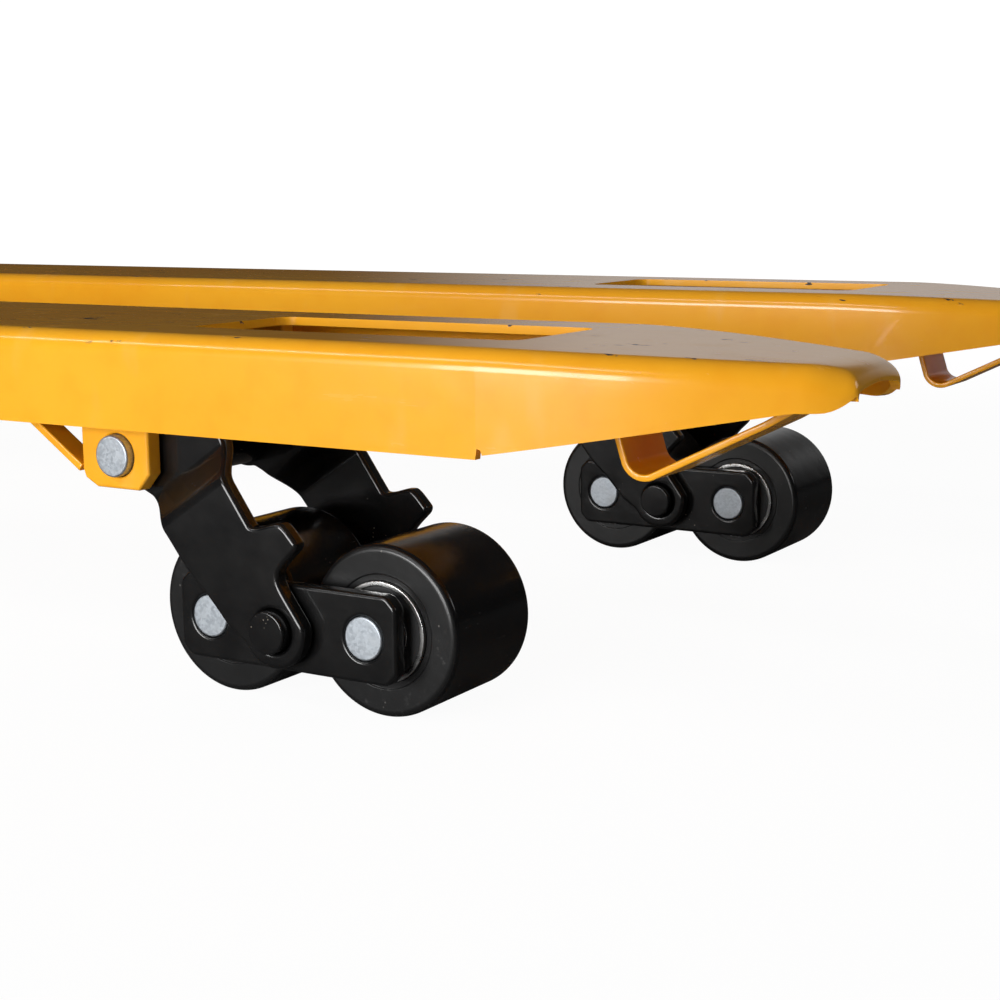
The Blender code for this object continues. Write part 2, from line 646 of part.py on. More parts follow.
def pump():
    """The cast base with its steering boss and handle brackets, the reservoir, the ram and the plunger."""
    base_low, base_high = 0.2055, 0.230
    at = (STEER_X, 0, 0)
    half = [(-0.118, -0.062), (0.040, -0.062), (0.062, -0.035)]
    outline = rounded(half + [(x, -y) for x, y in reversed(half)], 0.010, 2)
    base_at = (STEER_X, 0, (base_low + base_high) / 2)
    body = plate("pump_base", outline, base_high - base_low, base_at, BLACK, STEER, normal="Z")
    boss = rod("pump_base_boss", 0.0200, 0.150, "Z", (STEER_X, 0, 0.1405), sides=24)
    hinge = (-HANDLE_BEHIND_STEER, HANDLE_Z)
    ear = [(-0.102, base_high - 0.006), (-0.048, base_high - 0.006)] + arc(hinge, 0.020, 0, 180, 6)
    weld(body, boss)
    for side in (-1, 1):
        weld(body, plate(f"pump_base_{side_name(side)}_bracket", ear, 0.0118, (STEER_X, side * 0.0558, 0)))
    cut(
        body,
        rod("pump_base_axle_hole", PIN_RADIUS + GAP, 0.2, "Y", (STEER_X, 0, WHEEL_RADIUS)),
        rod("pump_base_hinge_hole", 0.0083, 0.2, "Y", (HINGE_X, 0, HANDLE_Z), sides=16),
        rod("pump_base_plunger_bore", 0.0073, 0.2, "Z", (TOE_X, 0, base_high), sides=16),
    )
    bottom, floor, shoulder = base_high + GAP, base_high + 0.0055, 0.345
    neck, tank = 0.026, 0.045
    profile = [
        (0.004, floor), (RAM_RADIUS + GAP, floor), (RAM_RADIUS + GAP, CYLINDER_TOP), (neck, CYLINDER_TOP),
        (neck, shoulder + 0.004), (tank - 0.004, shoulder + 0.002), (tank, shoulder - 0.003),
        (tank, bottom), (0.004, bottom),
    ]
    turned("reservoir", profile, "Z", at, BLACK, STEER, 28)
    ram_length = SEAT_Z + 0.013 - RAM_FOOT
    rod("ram", RAM_RADIUS, ram_length, "Z", (STEER_X, 0, RAM_FOOT + ram_length / 2), CHROME, FRAME, 24)
    rod("steer_axle", PIN_RADIUS, 0.160, "Y", (STEER_X, 0, WHEEL_RADIUS), ZINC, STEER)
    rod("handle_pin", 0.008, 0.130, "Y", (HINGE_X, 0, HANDLE_Z), ZINC, STEER, 16)
    cap_top = TOE_Z - TOE_RADIUS - 0.0005
    plunger = rod("pump_plunger", 0.007, 0.056, "Z", (TOE_X, 0, cap_top - 0.028), CHROME, PLUNGER, 16)
    weld(plunger, rod("pump_plunger_cap", 0.012, 0.0070, "Z", (TOE_X, 0, cap_top - 0.0035), sides=16))


def steer_wheel(side):
    name = f"{side_name(side)}_steer"
    at = (STEER_X, side * (WHEEL_INNER + WHEEL_WIDTH / 2), WHEEL_RADIUS)
    half, web, rim, rim_half = WHEEL_WIDTH / 2, 0.008, 0.066, WHEEL_WIDTH / 2 - 0.002
    tread = ring_profile(rim + 0.001, WHEEL_RADIUS, half, 0.004)
    turned(name + "_tyre", tread, "Y", at, TYRE, WHEELS[side], 32)
    upper = [
        (PIN_RADIUS + GAP, half), (0.022, half), (0.024, web),
        (0.056, web), (0.058, rim_half), (rim, rim_half),
    ]
    hub = upper + [(r, -z) for r, z in reversed(upper)]
    turned(name + "_hub", hub, "Y", at, BLACK, WHEELS[side], 20)


def lean(obj):
    obj.rotation_euler = Euler((0, -HANDLE_LEAN, 0)).to_matrix().to_euler()
    return obj


def handle():
    """The forked foot on the hinge pin, the steel tube, and the loop at its top with the control lever."""
    at = up_handle(0)
    cheek = arc((0, 0), 0.020, -60, 10, 4) + [(0.020, 0.062), (-0.020, 0.062)] + arc(TOE, 0.014, 150, 270, 4)
    bridge = rounded(rectangle((0, 0.052), 0.022, 0.012), 0.003, 1)
    middle = lean(plate("handle_foot", bridge, 0.090, at, YELLOW, HANDLE))
    for i, y in enumerate((-CHEEK_Y, CHEEK_Y)):
        weld(middle, lean(plate(f"handle_foot_{i}", cheek, 0.014, (at[0], y, at[2]))))
    weld(
        middle,
        lean(rod("handle_foot_toe", TOE_RADIUS, 0.070, "Y", up_handle(TOE[1], TOE[0]), sides=16)),
        lean(rod("handle_foot_socket", 0.023, 0.070, "Z", up_handle(0.090), sides=24)),
    )
    cut(
        middle,
        lean(rod("handle_foot_pin_hole", 0.0083, 0.2, "Y", at, sides=16)),
        lean(rod("handle_foot_bore", TUBE_RADIUS + GAP, 0.1, "Z", up_handle(0.070 + 0.050), sides=24)),
    )
    tube_low, tube_high = 0.0705, LOOP_BOTTOM - 0.012
    bore = TUBE_RADIUS - 0.003
    half = (tube_high - tube_low) / 2
    profile = [(bore, half), (TUBE_RADIUS, half), (TUBE_RADIUS, -half), (bore, -half)]
    lean(turned("handle_tube", profile, "Z", up_handle(tube_low + half), YELLOW, HANDLE, 24))
    loop()


def loop():
    """A closed tube loop on a neck that slides over the handle tube, with two ears for the lever's pin."""
    at = up_handle(LOOP_BOTTOM)
    corners = [(-0.055, 0), (0.055, 0), (0.100, LOOP_HEIGHT), (-0.100, LOOP_HEIGHT)]
    curve = bpy.data.curves.new("grip_loop", "CURVE")
    curve.dimensions = "3D"
    curve.bevel_depth = LOOP_RADIUS
    curve.bevel_resolution = 2
    spline = curve.splines.new("POLY")
    outline = rounded(corners, 0.030, 4)
    spline.points.add(len(outline) - 1)
    spline.use_cyclic_u = True
    for point, (y, z) in zip(spline.points, outline):
        point.co = (0, y, z, 1)
    bent = bpy.data.objects.new("loop_curve", curve)
    bpy.context.scene.collection.objects.link(bent)
    bpy.context.view_layer.update()
    mesh = bpy.data.meshes.new_from_object(bent.evaluated_get(bpy.context.evaluated_depsgraph_get()))
    bpy.data.objects.remove(bent, do_unlink=True)
    bm = bmesh.new()
    bm.from_mesh(mesh)
    bmesh.ops.remove_doubles(bm, verts=bm.verts, dist=0.000001)
    obj = lean(add("grip_loop", finish(bm, "grip_loop"), at, RUBBER, HANDLE))
    neck_at = up_handle(LOOP_BOTTOM - NECK_LENGTH / 2 + 0.006)
    neck = lean(rod("grip_loop_neck", 0.0205, NECK_LENGTH, "Z", neck_at, sides=20))
    pivot = up_handle(LOOP_BOTTOM + 0.024)
    ear = [(0.009, -0.018), *arc((0, 0), 0.009, 0, 180, 6), (-0.009, -0.018)]
    weld(obj, neck)
    for i, y in enumerate((-0.0105, 0.0105)):
        weld(obj, lean(plate(f"grip_loop_ear_{i}", ear, 0.005, (pivot[0], y, pivot[2]))))
    weld(obj, lean(rod("grip_loop_pin", 0.003, 0.024, "Y", pivot, sides=12)))
    bore_at = up_handle(LOOP_BOTTOM - 0.0115 - NECK_LENGTH / 2)
    cut(obj, lean(rod("grip_loop_bore", TUBE_RADIUS + GAP, NECK_LENGTH, "Z", bore_at, sides=24)))
    lever(pivot)


def lever(pivot):
    boss = rod("control_lever", 0.0072, 0.0145, "Y", pivot, BLACK, LEVERS, 16)
    half = [(0.005, 0.004), (0.007, 0.038), (0.026, 0.046), (0.026, 0.056)]
    stem = half + [(-y, z) for y, z in reversed(half)]
    weld(lean(boss), lean(plate("control_lever_blade", stem, 0.005, pivot, normal="X")))
    return cut(boss, lean(rod("control_lever_hole", 0.0033, 0.1, "Y", pivot, sides=12)))


SIDES = (-1, 1)
FRAME = empty("fork_frame", (0, 0, 0))
pivots = {side: (BOGIE_X + LUG_PIN[0], side * FORK_Y, LUG_PIN[1]) for side in SIDES}
centres = {side: (BOGIE_X, side * FORK_Y, ROLLER_RADIUS) for side in SIDES}
rod_ends = {side: (BOGIE_X + LEVER_TOP[0], side * FORK_Y, LEVER_TOP[1]) for side in SIDES}
ARMS = {side: empty(side_name(side) + "_arm", pivots[side], FRAME) for side in SIDES}
CENTRES = {side: empty(side_name(side) + "_centre", centres[side], ARMS[side]) for side in SIDES}
BOGIES = {side: empty(side_name(side) + "_bogie", centres[side], CENTRES[side]) for side in SIDES}
RODS = {side: empty(side_name(side) + "_rod", rod_ends[side], ARMS[side]) for side in SIDES}
ROCKER = empty("rocker_turn", (ROCKER_X, 0, ROCKER_Z), FRAME)
YOKE = empty("yoke_lift", (STEER_X, 0, 0), FRAME)
STEER = empty("steer_unit", (STEER_X, 0, 0), YOKE)
WHEELS = {side: empty(side_name(side) + "_steer_wheel", (STEER_X, 0, WHEEL_RADIUS), STEER) for side in SIDES}
HANDLE = empty("handle", up_handle(0), STEER)
LEVERS = empty("lever", up_handle(LOOP_BOTTOM + 0.024), HANDLE)
PLUNGER = empty("plunger", (TOE_X, 0, HANDLE_Z), STEER)

for side in SIDES:
    fork(side)
    roller_gear(side)
    steer_wheel(side)
crosshead()
rod("rocker_shaft", PIN_RADIUS, FORK_SPACING + FORK_WIDTH - 0.003, "Y", (ROCKER_X, 0, ROCKER_Z), ZINC, FRAME)
rocker()
yoke()
pump()
handle()
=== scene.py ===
from math import asin, atan2, cos, degrees, pi, radians, sin, tan

import bmesh
import bpy
from mathutils import Matrix, Vector
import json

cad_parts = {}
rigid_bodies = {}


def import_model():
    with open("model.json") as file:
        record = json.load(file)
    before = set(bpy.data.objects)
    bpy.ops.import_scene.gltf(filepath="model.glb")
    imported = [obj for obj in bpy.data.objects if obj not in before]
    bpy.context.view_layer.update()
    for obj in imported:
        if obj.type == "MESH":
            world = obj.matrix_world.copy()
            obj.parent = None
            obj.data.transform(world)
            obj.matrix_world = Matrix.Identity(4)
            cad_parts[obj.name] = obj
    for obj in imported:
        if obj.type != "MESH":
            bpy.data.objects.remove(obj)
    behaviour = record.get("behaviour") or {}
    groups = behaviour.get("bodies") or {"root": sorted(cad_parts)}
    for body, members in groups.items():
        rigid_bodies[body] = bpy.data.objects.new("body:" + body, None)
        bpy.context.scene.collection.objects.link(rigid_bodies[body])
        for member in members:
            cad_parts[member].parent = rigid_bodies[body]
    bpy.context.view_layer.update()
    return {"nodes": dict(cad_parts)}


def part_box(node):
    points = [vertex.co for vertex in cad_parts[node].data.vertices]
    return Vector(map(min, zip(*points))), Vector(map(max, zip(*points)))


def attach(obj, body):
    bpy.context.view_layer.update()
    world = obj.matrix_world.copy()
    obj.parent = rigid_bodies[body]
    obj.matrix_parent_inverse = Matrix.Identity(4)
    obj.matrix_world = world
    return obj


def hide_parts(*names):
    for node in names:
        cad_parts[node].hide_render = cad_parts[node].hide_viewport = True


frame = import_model()
scene = bpy.context.scene
print("frame loaded:", len(frame["nodes"]), "nodes")

for spare in [o for o in bpy.data.objects if o.name in ("Cube", "Light", "Camera")]:
    bpy.data.objects.remove(spare, do_unlink=True)


def middle(node):
    low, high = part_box(node)
    return (low + high) / 2


# Places, read from the frame
bogie = middle("right_outer_centre_pin")  # the middle of each bogie, in x and z
pivot = middle("right_pivot_pin")
rodPin = middle("right_rod_pin")
shaft = middle("rocker_shaft")
axle = middle("steer_axle")
hinge = middle("handle_pin")
forkLow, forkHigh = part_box("right_fork")
forkY = abs(middle("right_fork").y)
forkTop = forkHigh.z
nose = forkHigh.x - bogie.x
sides = {"right": -1, "left": 1}
fit = 0.0003  # the play round a pin
pinRadius = 0.010  # pivot pins, roller axles, rocker shaft and steering axle
rodPinRadius = 0.007
hingeRadius = 0.008
cutEdge = 0.0001  # the edge of a shape that only cuts
through = 0.1  # half the length of a cutting pin that goes right through


def pinHole(at=(0, 0)):
    return ringPoints(at, pinRadius + fit)


def rodPinHole(at=(0, 0)):
    return ringPoints(at, rodPinRadius + fit, 36)


def rightToLeft(half):
    # a run of points and its mirror image across the upright axis
    return half + [(-across, up) for across, up in reversed(half)]


def topToBottom(half):
    # a turned profile and its mirror image across the middle
    return half + [(radius, -height) for radius, height in reversed(half)]


# Shader maths written as Python
class Wire:
    def __init__(self, tree, socket):
        self.tree, self.socket = tree, socket

    def maths(self, operation, first, second=None, third=None):
        node = self.tree.nodes.new("ShaderNodeMath")
        node.operation = operation
        for slot, value in zip(node.inputs, (first, second, third)):
            if isinstance(value, Wire):
                self.tree.links.new(value.socket, slot)
            elif value is not None:
                slot.default_value = value
        return Wire(self.tree, node.outputs[0])

    def __add__(self, other):
        return self.maths("ADD", self, other)

    def __sub__(self, other):
        return self.maths("SUBTRACT", self, other)

    def __rsub__(self, other):
        return self.maths("SUBTRACT", other, self)

    def __mul__(self, other):
        return self.maths("MULTIPLY", self, other)

    def __pow__(self, other):
        return self.maths("POWER", self, other)

    def __abs__(self):
        return self.maths("ABSOLUTE", self)

    __radd__ = __add__
    __rmul__ = __mul__

    def step(self, low, high):  # 0 below low, 1 above high, smooth between
        node = self.tree.nodes.new("ShaderNodeMapRange")
        node.interpolation_type = "SMOOTHSTEP"
        node.inputs["From Min"].default_value = low
        node.inputs["From Max"].default_value = high
        self.tree.links.new(self.socket, node.inputs["Value"])
        return Wire(self.tree, node.outputs["Result"])


class Finish:
    def __init__(self, name, **constants):
        self.material = bpy.data.materials.new(name)
        self.material.use_nodes = True
        self.tree = self.material.node_tree
        self.shader = self.tree.nodes["Principled BSDF"]
        for key, value in constants.items():
            self.shader.inputs[key.replace("_", " ")].default_value = value
        self.place = self.node("TexCoord")["Object"]

    def node(self, kind, settings=None, values=None):
        made = self.tree.nodes.new("ShaderNode" + kind)
        for key, value in (settings or {}).items():
            if key == "stops":
                ramp = made.color_ramp
                while len(ramp.elements) < len(value):
                    ramp.elements.new(0.5)
                for element, (at, colour) in zip(ramp.elements, value):
                    element.position = at
                    element.color = (*colour, 1)
            else:
                setattr(made, key, value)
        for key, value in (values or {}).items():
            if isinstance(value, Wire):
                self.tree.links.new(value.socket, made.inputs[key])
            else:
                made.inputs[key].default_value = value
        return {out.identifier: Wire(self.tree, out) for out in made.outputs} | {
            out.name: Wire(self.tree, out) for out in made.outputs if out.enabled
        }

    def stretched(self, scale):
        return self.node("Mapping", values={"Vector": self.place, "Scale": scale})["Vector"]

    def noise(self, scale, detail=2.0, roughness=0.5, at=None):
        values = {"Vector": at or self.place, "Scale": scale, "Detail": detail, "Roughness": roughness}
        return self.node("TexNoise", values=values)["Fac"]

    def cells(self, scale, feature="F1", at=None):
        return self.node("TexVoronoi", {"feature": feature}, {"Vector": at or self.place, "Scale": scale})

    def mix(self, mask, one, two):
        ends = [(*c, 1) if isinstance(c, tuple) else c for c in (one, two)]
        values = {"Factor_Float": mask, "A_Color": ends[0], "B_Color": ends[1]}
        made = self.tree.nodes.new("ShaderNodeMix")
        made.data_type = "RGBA"
        named = {s.identifier: s for s in made.inputs}
        for key, value in values.items():
            if isinstance(value, Wire):
                self.tree.links.new(value.socket, named[key])
            else:
                named[key].default_value = value
        return Wire(self.tree, [s for s in made.outputs if s.identifier == "Result_Color"][0])

    def bump(self, height, strength, distance, after=None):
        values = {"Height": height, "Strength": strength, "Distance": distance}
        if after is not None:
            values["Normal"] = after
        return self.node("Bump", values=values)["Normal"]

    def feed(self, **sockets):
        for key, wire in sockets.items():
            self.tree.links.new(wire.socket, self.shader.inputs[key.replace("_", " ")])
        return self.material


# Finishes
def yellowCoat():
    coat = {
        "light": (1.0, 0.465, 0.020), "deep": (0.93, 0.365, 0.010), "bloom": (1.0, 0.66, 0.22),
        "scuff": (0.9, 0.5, 0.16), "chip": (0.045, 0.028, 0.02), "gloss": 0.22,
    }
    f = Finish("yellowCoat", Coat_Weight=0.35, Coat_Roughness=0.05, IOR=1.5)
    tone = f.noise(5, 3).step(0.3, 0.7) * 0.45 + f.noise(60, 4).step(0.4, 0.75) * 0.25
    height = f.node("SeparateXYZ", values={"Vector": f.place})["Z"]
    rim = height.step(forkTop - 0.0065, forkTop - 0.0035)  # the paint chips off along the forks' upper bends
    rim = rim * (1 - height.step(forkTop + 0.001, forkTop + 0.004))
    knocks = f.noise(75, 3, 0.6, f.stretched((0.4, 1.4, 1.4))).step(0.665, 0.68)
    worn = f.noise(330, 2).step(0.42, 0.5)
    chips = knocks * worn * rim
    rubbed = f.noise(26, 5, 0.65, f.stretched((0.35, 3, 3))).step(0.56, 0.72)
    scuffs = f.noise(600, 2, 0.5, f.stretched((0.05, 1, 1))).step(0.66, 0.78) * rubbed
    bloom = f.noise(34, 3, 0.6, f.stretched((1, 1, 0.35))).step(0.56, 0.72)
    paint = f.mix(tone, coat["light"], coat["deep"])
    paint = f.mix(bloom * 0.10, paint, coat["bloom"])
    paint = f.mix(scuffs * 0.3, paint, coat["scuff"])
    colour = f.mix(chips, paint, coat["chip"])
    rough = coat["gloss"] + rubbed * 0.07 + bloom * 0.05 + scuffs * 0.25 + chips * 0.4
    waves = f.bump(f.noise(24, 2), 0.35, 0.0010)
    peel = f.bump(f.noise(620, 2), 0.10, 0.00016, waves)
    dents = f.bump(1 - chips, 0.5, 0.0002, peel)
    return f.feed(Base_Color=colour, Roughness=rough, Normal=dents)


def blackPaint(name="blackPaint", gloss=0.15, cast=0.0):
    f = Finish(name, Coat_Weight=0.4, Coat_Roughness=0.05, IOR=1.45)
    dust = f.cells(420)["Distance"]
    specks = (1 - dust.step(0.10, 0.16)) * f.noise(55, 3).step(0.64, 0.70)
    haze = f.noise(38, 5, 0.62)
    wear = f.noise(900, 2, 0.5, f.stretched((0.08, 1, 0.6))).step(0.70, 0.80) * haze.step(0.5, 0.7)
    colour = f.mix(haze.step(0.35, 0.8), (0.0045, 0.0045, 0.0048), (0.009, 0.0088, 0.0086))
    colour = f.mix(wear * 0.5, colour, (0.055, 0.052, 0.05))
    colour = f.mix(specks, colour, (0.28, 0.25, 0.2))
    rough = gloss + haze * 0.16 + wear * 0.2 + specks * 0.3
    waves = f.bump(f.noise(60, 2), 0.3, 0.0006)
    skin = f.bump(f.noise(420, 3), 0.16 + cast, 0.0003 + cast * 0.0008, waves)
    return f.feed(Base_Color=colour, Roughness=rough, Normal=skin)


def zinc():
    f = Finish("zinc", Metallic=0.82)
    flakes = f.cells(820)["Color"]
    grey = f.node("SeparateColor", values={"Color": flakes})["Red"]
    grain = f.noise(1900, 3)
    stain = f.noise(110, 4).step(0.45, 0.75)
    tone = grey * 0.55 + grain * 0.45
    colour = f.mix(tone, (0.38, 0.42, 0.46), (0.60, 0.645, 0.69))
    colour = f.mix(stain * 0.25, colour, (0.40, 0.41, 0.40))
    rough = 0.36 + tone * 0.2 + stain * 0.1
    return f.feed(Base_Color=colour, Roughness=rough, Normal=f.bump(grain + grey * 0.5, 0.22, 0.00012))


def bearingSteel():
    f = Finish("bearingSteel", Metallic=1.0)
    grain = f.noise(700, 2)
    smear = f.noise(90, 3).step(0.4, 0.7)
    colour = f.mix(smear, (0.72, 0.72, 0.71), (0.55, 0.54, 0.52))
    return f.feed(Base_Color=colour, Roughness=0.26 + smear * 0.14, Normal=f.bump(grain, 0.05, 0.00004))


def chrome():
    f = Finish("chrome", Metallic=1.0)
    film = f.noise(45, 4).step(0.4, 0.8)
    lines = f.noise(900, 2, 0.5, f.stretched((1, 1, 0.03))).step(0.62, 0.8)
    colour = f.mix(film, (0.80, 0.81, 0.83), (0.66, 0.65, 0.62))
    rough = 0.07 + film * 0.1 + lines * 0.12
    return f.feed(Base_Color=colour, Roughness=rough, Normal=f.bump(lines, 0.05, 0.00003))


def polyurethane():
    f = Finish("polyurethane", Specular_IOR_Level=0.55)
    facing = f.node("TexCoord")["Normal"]
    flank = abs(f.node("SeparateXYZ", values={"Vector": facing})["Y"]).step(0.55, 0.8)
    haze = f.noise(48, 5, 0.6)
    scuff = f.noise(420, 3, 0.6, f.stretched((1, 0.15, 1))).step(0.58, 0.74) * haze.step(0.45, 0.7)
    nicks = (1 - f.cells(260)["Distance"].step(0.09, 0.15)) * f.noise(60, 2).step(0.62, 0.68)
    colour = f.mix(flank, (0.0045, 0.0045, 0.005), (0.0085, 0.0085, 0.0087))
    colour = f.mix(scuff * 0.6, colour, (0.05, 0.048, 0.046))
    colour = f.mix(nicks * 0.7, colour, (0.16, 0.15, 0.14))
    rough = 0.13 + flank * 0.12 + haze * 0.1 + scuff * 0.2
    fine = f.bump(f.noise(1500, 2), 0.2, 0.00009)
    return f.feed(Base_Color=colour, Roughness=rough, Normal=f.bump(f.noise(90, 3), 0.25, 0.0004, fine))


def gripRubber():
    f = Finish("gripRubber")
    pores = f.cells(1300)["Distance"]
    shine = f.noise(30, 4).step(0.4, 0.75)
    colour = f.mix(shine, (0.02, 0.02, 0.021), (0.035, 0.034, 0.033))
    return f.feed(Base_Color=colour, Roughness=0.7 - shine * 0.22, Normal=f.bump(pores, 0.35, 0.00018))


finishes = {
    "yellow_coat": yellowCoat(), "black_paint": blackPaint(),
    "pump_black": blackPaint("pumpBlack", 0.30, 0.3), "zinc": zinc(), "bearing_steel": bearingSteel(),
    "chrome": chrome(), "polyurethane": polyurethane(), "grip": gripRubber(),
}
print("finishes made:", len(finishes))


# Outlines and shapes
def arcPoints(centre, radius, start, end, steps):
    turns = [radians(start + (end - start) * i / steps) for i in range(steps + 1)]
    return [(centre[0] + radius * cos(t), centre[1] + radius * sin(t)) for t in turns]


def ringPoints(centre, radius, steps=44):
    return arcPoints(centre, radius, 0, 360, steps)[:-1]


def softPath(points, radius, steps=5, closed=True):
    # each corner becomes an arc, no longer than the edges allow
    outline = []
    for i, corner in enumerate(points):
        if not closed and i in (0, len(points) - 1):
            outline.append(tuple(corner))
            continue
        here = Vector(corner)
        back, onward = Vector(points[i - 1]) - here, Vector(points[(i + 1) % len(points)]) - here
        half = back.angle(onward) / 2
        if half > radians(89.4):
            outline.append(tuple(corner))
            continue
        reach = min(radius / tan(half), 0.48 * back.length, 0.48 * onward.length)
        size = reach * tan(half)
        back.normalize()
        onward.normalize()
        centre = here + (back + onward).normalized() * size / sin(half)
        first, last = here + back * reach - centre, here + onward * reach - centre
        begin = atan2(first.y, first.x)
        sweep = (atan2(last.y, last.x) - begin + pi) % (2 * pi) - pi
        for s in range(steps + 1):
            angle = begin + sweep * s / steps
            outline.append((centre.x + size * cos(angle), centre.y + size * sin(angle)))
    return outline


def capsulePoints(start, end, startRadius, endRadius, steps=14):
    run = Vector(end) - Vector(start)
    heading = degrees(atan2(run.y, run.x))
    lean = degrees(asin((startRadius - endRadius) / run.length))
    far = arcPoints(end, endRadius, heading - 90 + lean, heading + 90 - lean, steps)
    return far + arcPoints(start, startRadius, heading + 90 - lean, heading + 270 + lean, steps)


faceAxes = {
    "Y": Matrix(((1, 0, 0), (0, 0, -1), (0, 1, 0))),
    "X": Matrix(((0, 0, 1), (1, 0, 0), (0, 1, 0))),
    "Z": Matrix.Identity(3),
}
turnAxes = {
    "X": Matrix.Rotation(pi / 2, 4, "Y"),
    "Y": Matrix.Rotation(-pi / 2, 4, "X"),
    "Z": Matrix.Identity(4),
}


def spaced(points, least=0.0003):
    # drops a point that nearly repeats the one before it
    kept = [points[0]]
    for point in points[1:]:
        if (Vector(point) - Vector(kept[-1])).length > least:
            kept.append(point)
    return kept if (Vector(kept[0]) - Vector(kept[-1])).length > least else kept[:-1]


def plateShape(outline, thickness, edge=0.0008, holes=(), normal="Y", centre=(0, 0, 0), rounding=2):
    curve = bpy.data.curves.new("outline", "CURVE")
    curve.dimensions = "2D"
    curve.fill_mode = "BOTH"
    curve.extrude = thickness / 2 - edge
    curve.bevel_depth = edge
    curve.bevel_resolution = rounding
    curve.offset = -edge
    for loop in [spaced(points) for points in (outline, *holes)]:
        spline = curve.splines.new("POLY")
        spline.points.add(len(loop) - 1)
        spline.use_cyclic_u = True
        for point, (x, y) in zip(spline.points, loop):
            point.co = (x, y, 0, 1)
    shape = shapeOf(bpy.data.objects.new("outline", curve))
    matrix = Matrix.Translation(centre) @ faceAxes[normal].to_4x4()
    bmesh.ops.transform(shape, matrix=matrix, verts=shape.verts)
    return shape


def shapeOf(source):
    # the evaluated mesh of a scratch object, welded, with the object removed
    scene.collection.objects.link(source)
    bpy.context.view_layer.update()
    mesh = bpy.data.meshes.new_from_object(source.evaluated_get(bpy.context.evaluated_depsgraph_get()))
    bpy.data.objects.remove(source, do_unlink=True)
    shape = bmesh.new()
    shape.from_mesh(mesh)
    bpy.data.meshes.remove(mesh)
    bmesh.ops.remove_doubles(shape, verts=shape.verts, dist=0.000002)
    bmesh.ops.recalc_face_normals(shape, faces=shape.faces)
    return shape


def barShape(path, width, thickness, edge=0.0008, centre=(0, 0, 0)):
    left, right = [], []
    path = spaced(path, 0.0009)
    for i, point in enumerate(path):
        run = Vector(path[min(i + 1, len(path) - 1)]) - Vector(path[max(i - 1, 0)])
        run.normalize()
        across = Vector((-run.y, run.x)) * thickness / 2
        left.append(tuple(Vector(point) + across))
        right.append(tuple(Vector(point) - across))
    return plateShape(right + left[::-1], width, edge, centre=centre)


def turnedShape(profile, axis="Y", sides=72, ring=False, centre=(0, 0, 0)):
    shape = bmesh.new()
    rings = []
    for radius, height in profile:
        turns = [2 * pi * i / sides for i in range(sides)] if radius > 1e-7 else [0]
        rings.append([shape.verts.new((radius * cos(t), radius * sin(t), height)) for t in turns])
    following = rings[1:] + (rings[:1] if ring else [])
    for one, two in zip(rings, following):
        for i in range(sides):
            j = (i + 1) % sides
            corners = [one[i % len(one)], one[j % len(one)], two[j % len(two)], two[i % len(two)]]
            corners = list(dict.fromkeys(corners))
            if len(corners) > 2:
                shape.faces.new(corners)
    bmesh.ops.recalc_face_normals(shape, faces=shape.faces)
    bmesh.ops.transform(shape, matrix=Matrix.Translation(centre) @ turnAxes[axis], verts=shape.verts)
    return shape


def pinShape(radius, half, edge, axis="Y", sides=64, centre=(0, 0, 0)):
    corner = softPath([(0, half), (radius, half), (radius, -half), (0, -half)], edge, 4, closed=False)
    return turnedShape(corner, axis, sides, centre=centre)


def carve(base, adds=(), cuts=()):
    work = bpy.data.objects.new("work", meshOf("work", [base]))
    tools = []
    for operation, group in (("UNION", adds), ("DIFFERENCE", cuts)):
        for shape in group:
            tool = bpy.data.objects.new("tool", meshOf("tool", [shape]))
            scene.collection.objects.link(tool)
            tools.append(tool)
            step = work.modifiers.new("step", "BOOLEAN")
            step.operation, step.object, step.solver = operation, tool, "EXACT"
    shape = shapeOf(work)
    for tool in tools:
        bpy.data.objects.remove(tool, do_unlink=True)
    return shape


def meshOf(name, shapes):
    mesh = bpy.data.meshes.new(name)
    whole = bmesh.new()
    for shape in shapes:
        part = bpy.data.meshes.new("part")
        shape.to_mesh(part)
        shape.free()
        whole.from_mesh(part)
        bpy.data.meshes.remove(part)
    whole.to_mesh(mesh)
    whole.free()
    return mesh


def piece(name, shapes, finish, body, nodes=(), at=(0, 0, 0), turn=None, sharp=38):
    mesh = meshOf(name, shapes)
    mesh.transform(Matrix.Translation(at) @ (turn or Matrix.Identity(4)))
    mesh.shade_smooth()
    mesh.set_sharp_from_angle(angle=radians(sharp))
    mesh.materials.clear()
    mesh.materials.append(finishes[finish])
    obj = bpy.data.objects.new(name, mesh)
    scene.collection.objects.link(obj)
    even = obj.modifiers.new("evenNormals", "WEIGHTED_NORMAL")
    even.keep_sharp = True
    if nodes:
        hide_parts(*nodes)
    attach(obj, body)
    return obj


def named(side, part):
    return side + part[0].upper() + part[1:]


# Forks
fork = {
    "sheet": 0.004, "bend": 0.0092, "half": 0.075, "bottom": 0.1296, "edge": 0.0008,
    "heelBottom": forkLow.z, "heelRun": 0.120, "heelBlend": 0.160, "tailDrop": 0.0008, "tailRun": 0.0603,
    "seam": 0.1225, "seamLip": 0.0045, "tipStep": 0.0002, "tipBend": 0.0100, "tipBottom": 0.1315,
    "noseHalf": 0.0395, "noseRadius": 0.021, "noseDrop": 0.0045, "noseBottom": 0.151, "noseTurnIn": 0.0098,
    "noseTuck": 0.006, "noseFall": 0.0105, "cornerBottom": 0.1575, "leastWall": 0.0034, "lipRise": 0.0022,
    "window": (-0.060, 0.118, 0.036), "windowCorner": 0.008, "endHole": 0.0146,
}


def smooth(share):
    share = min(max(share, 0), 1)
    return share * share * (3 - 2 * share)


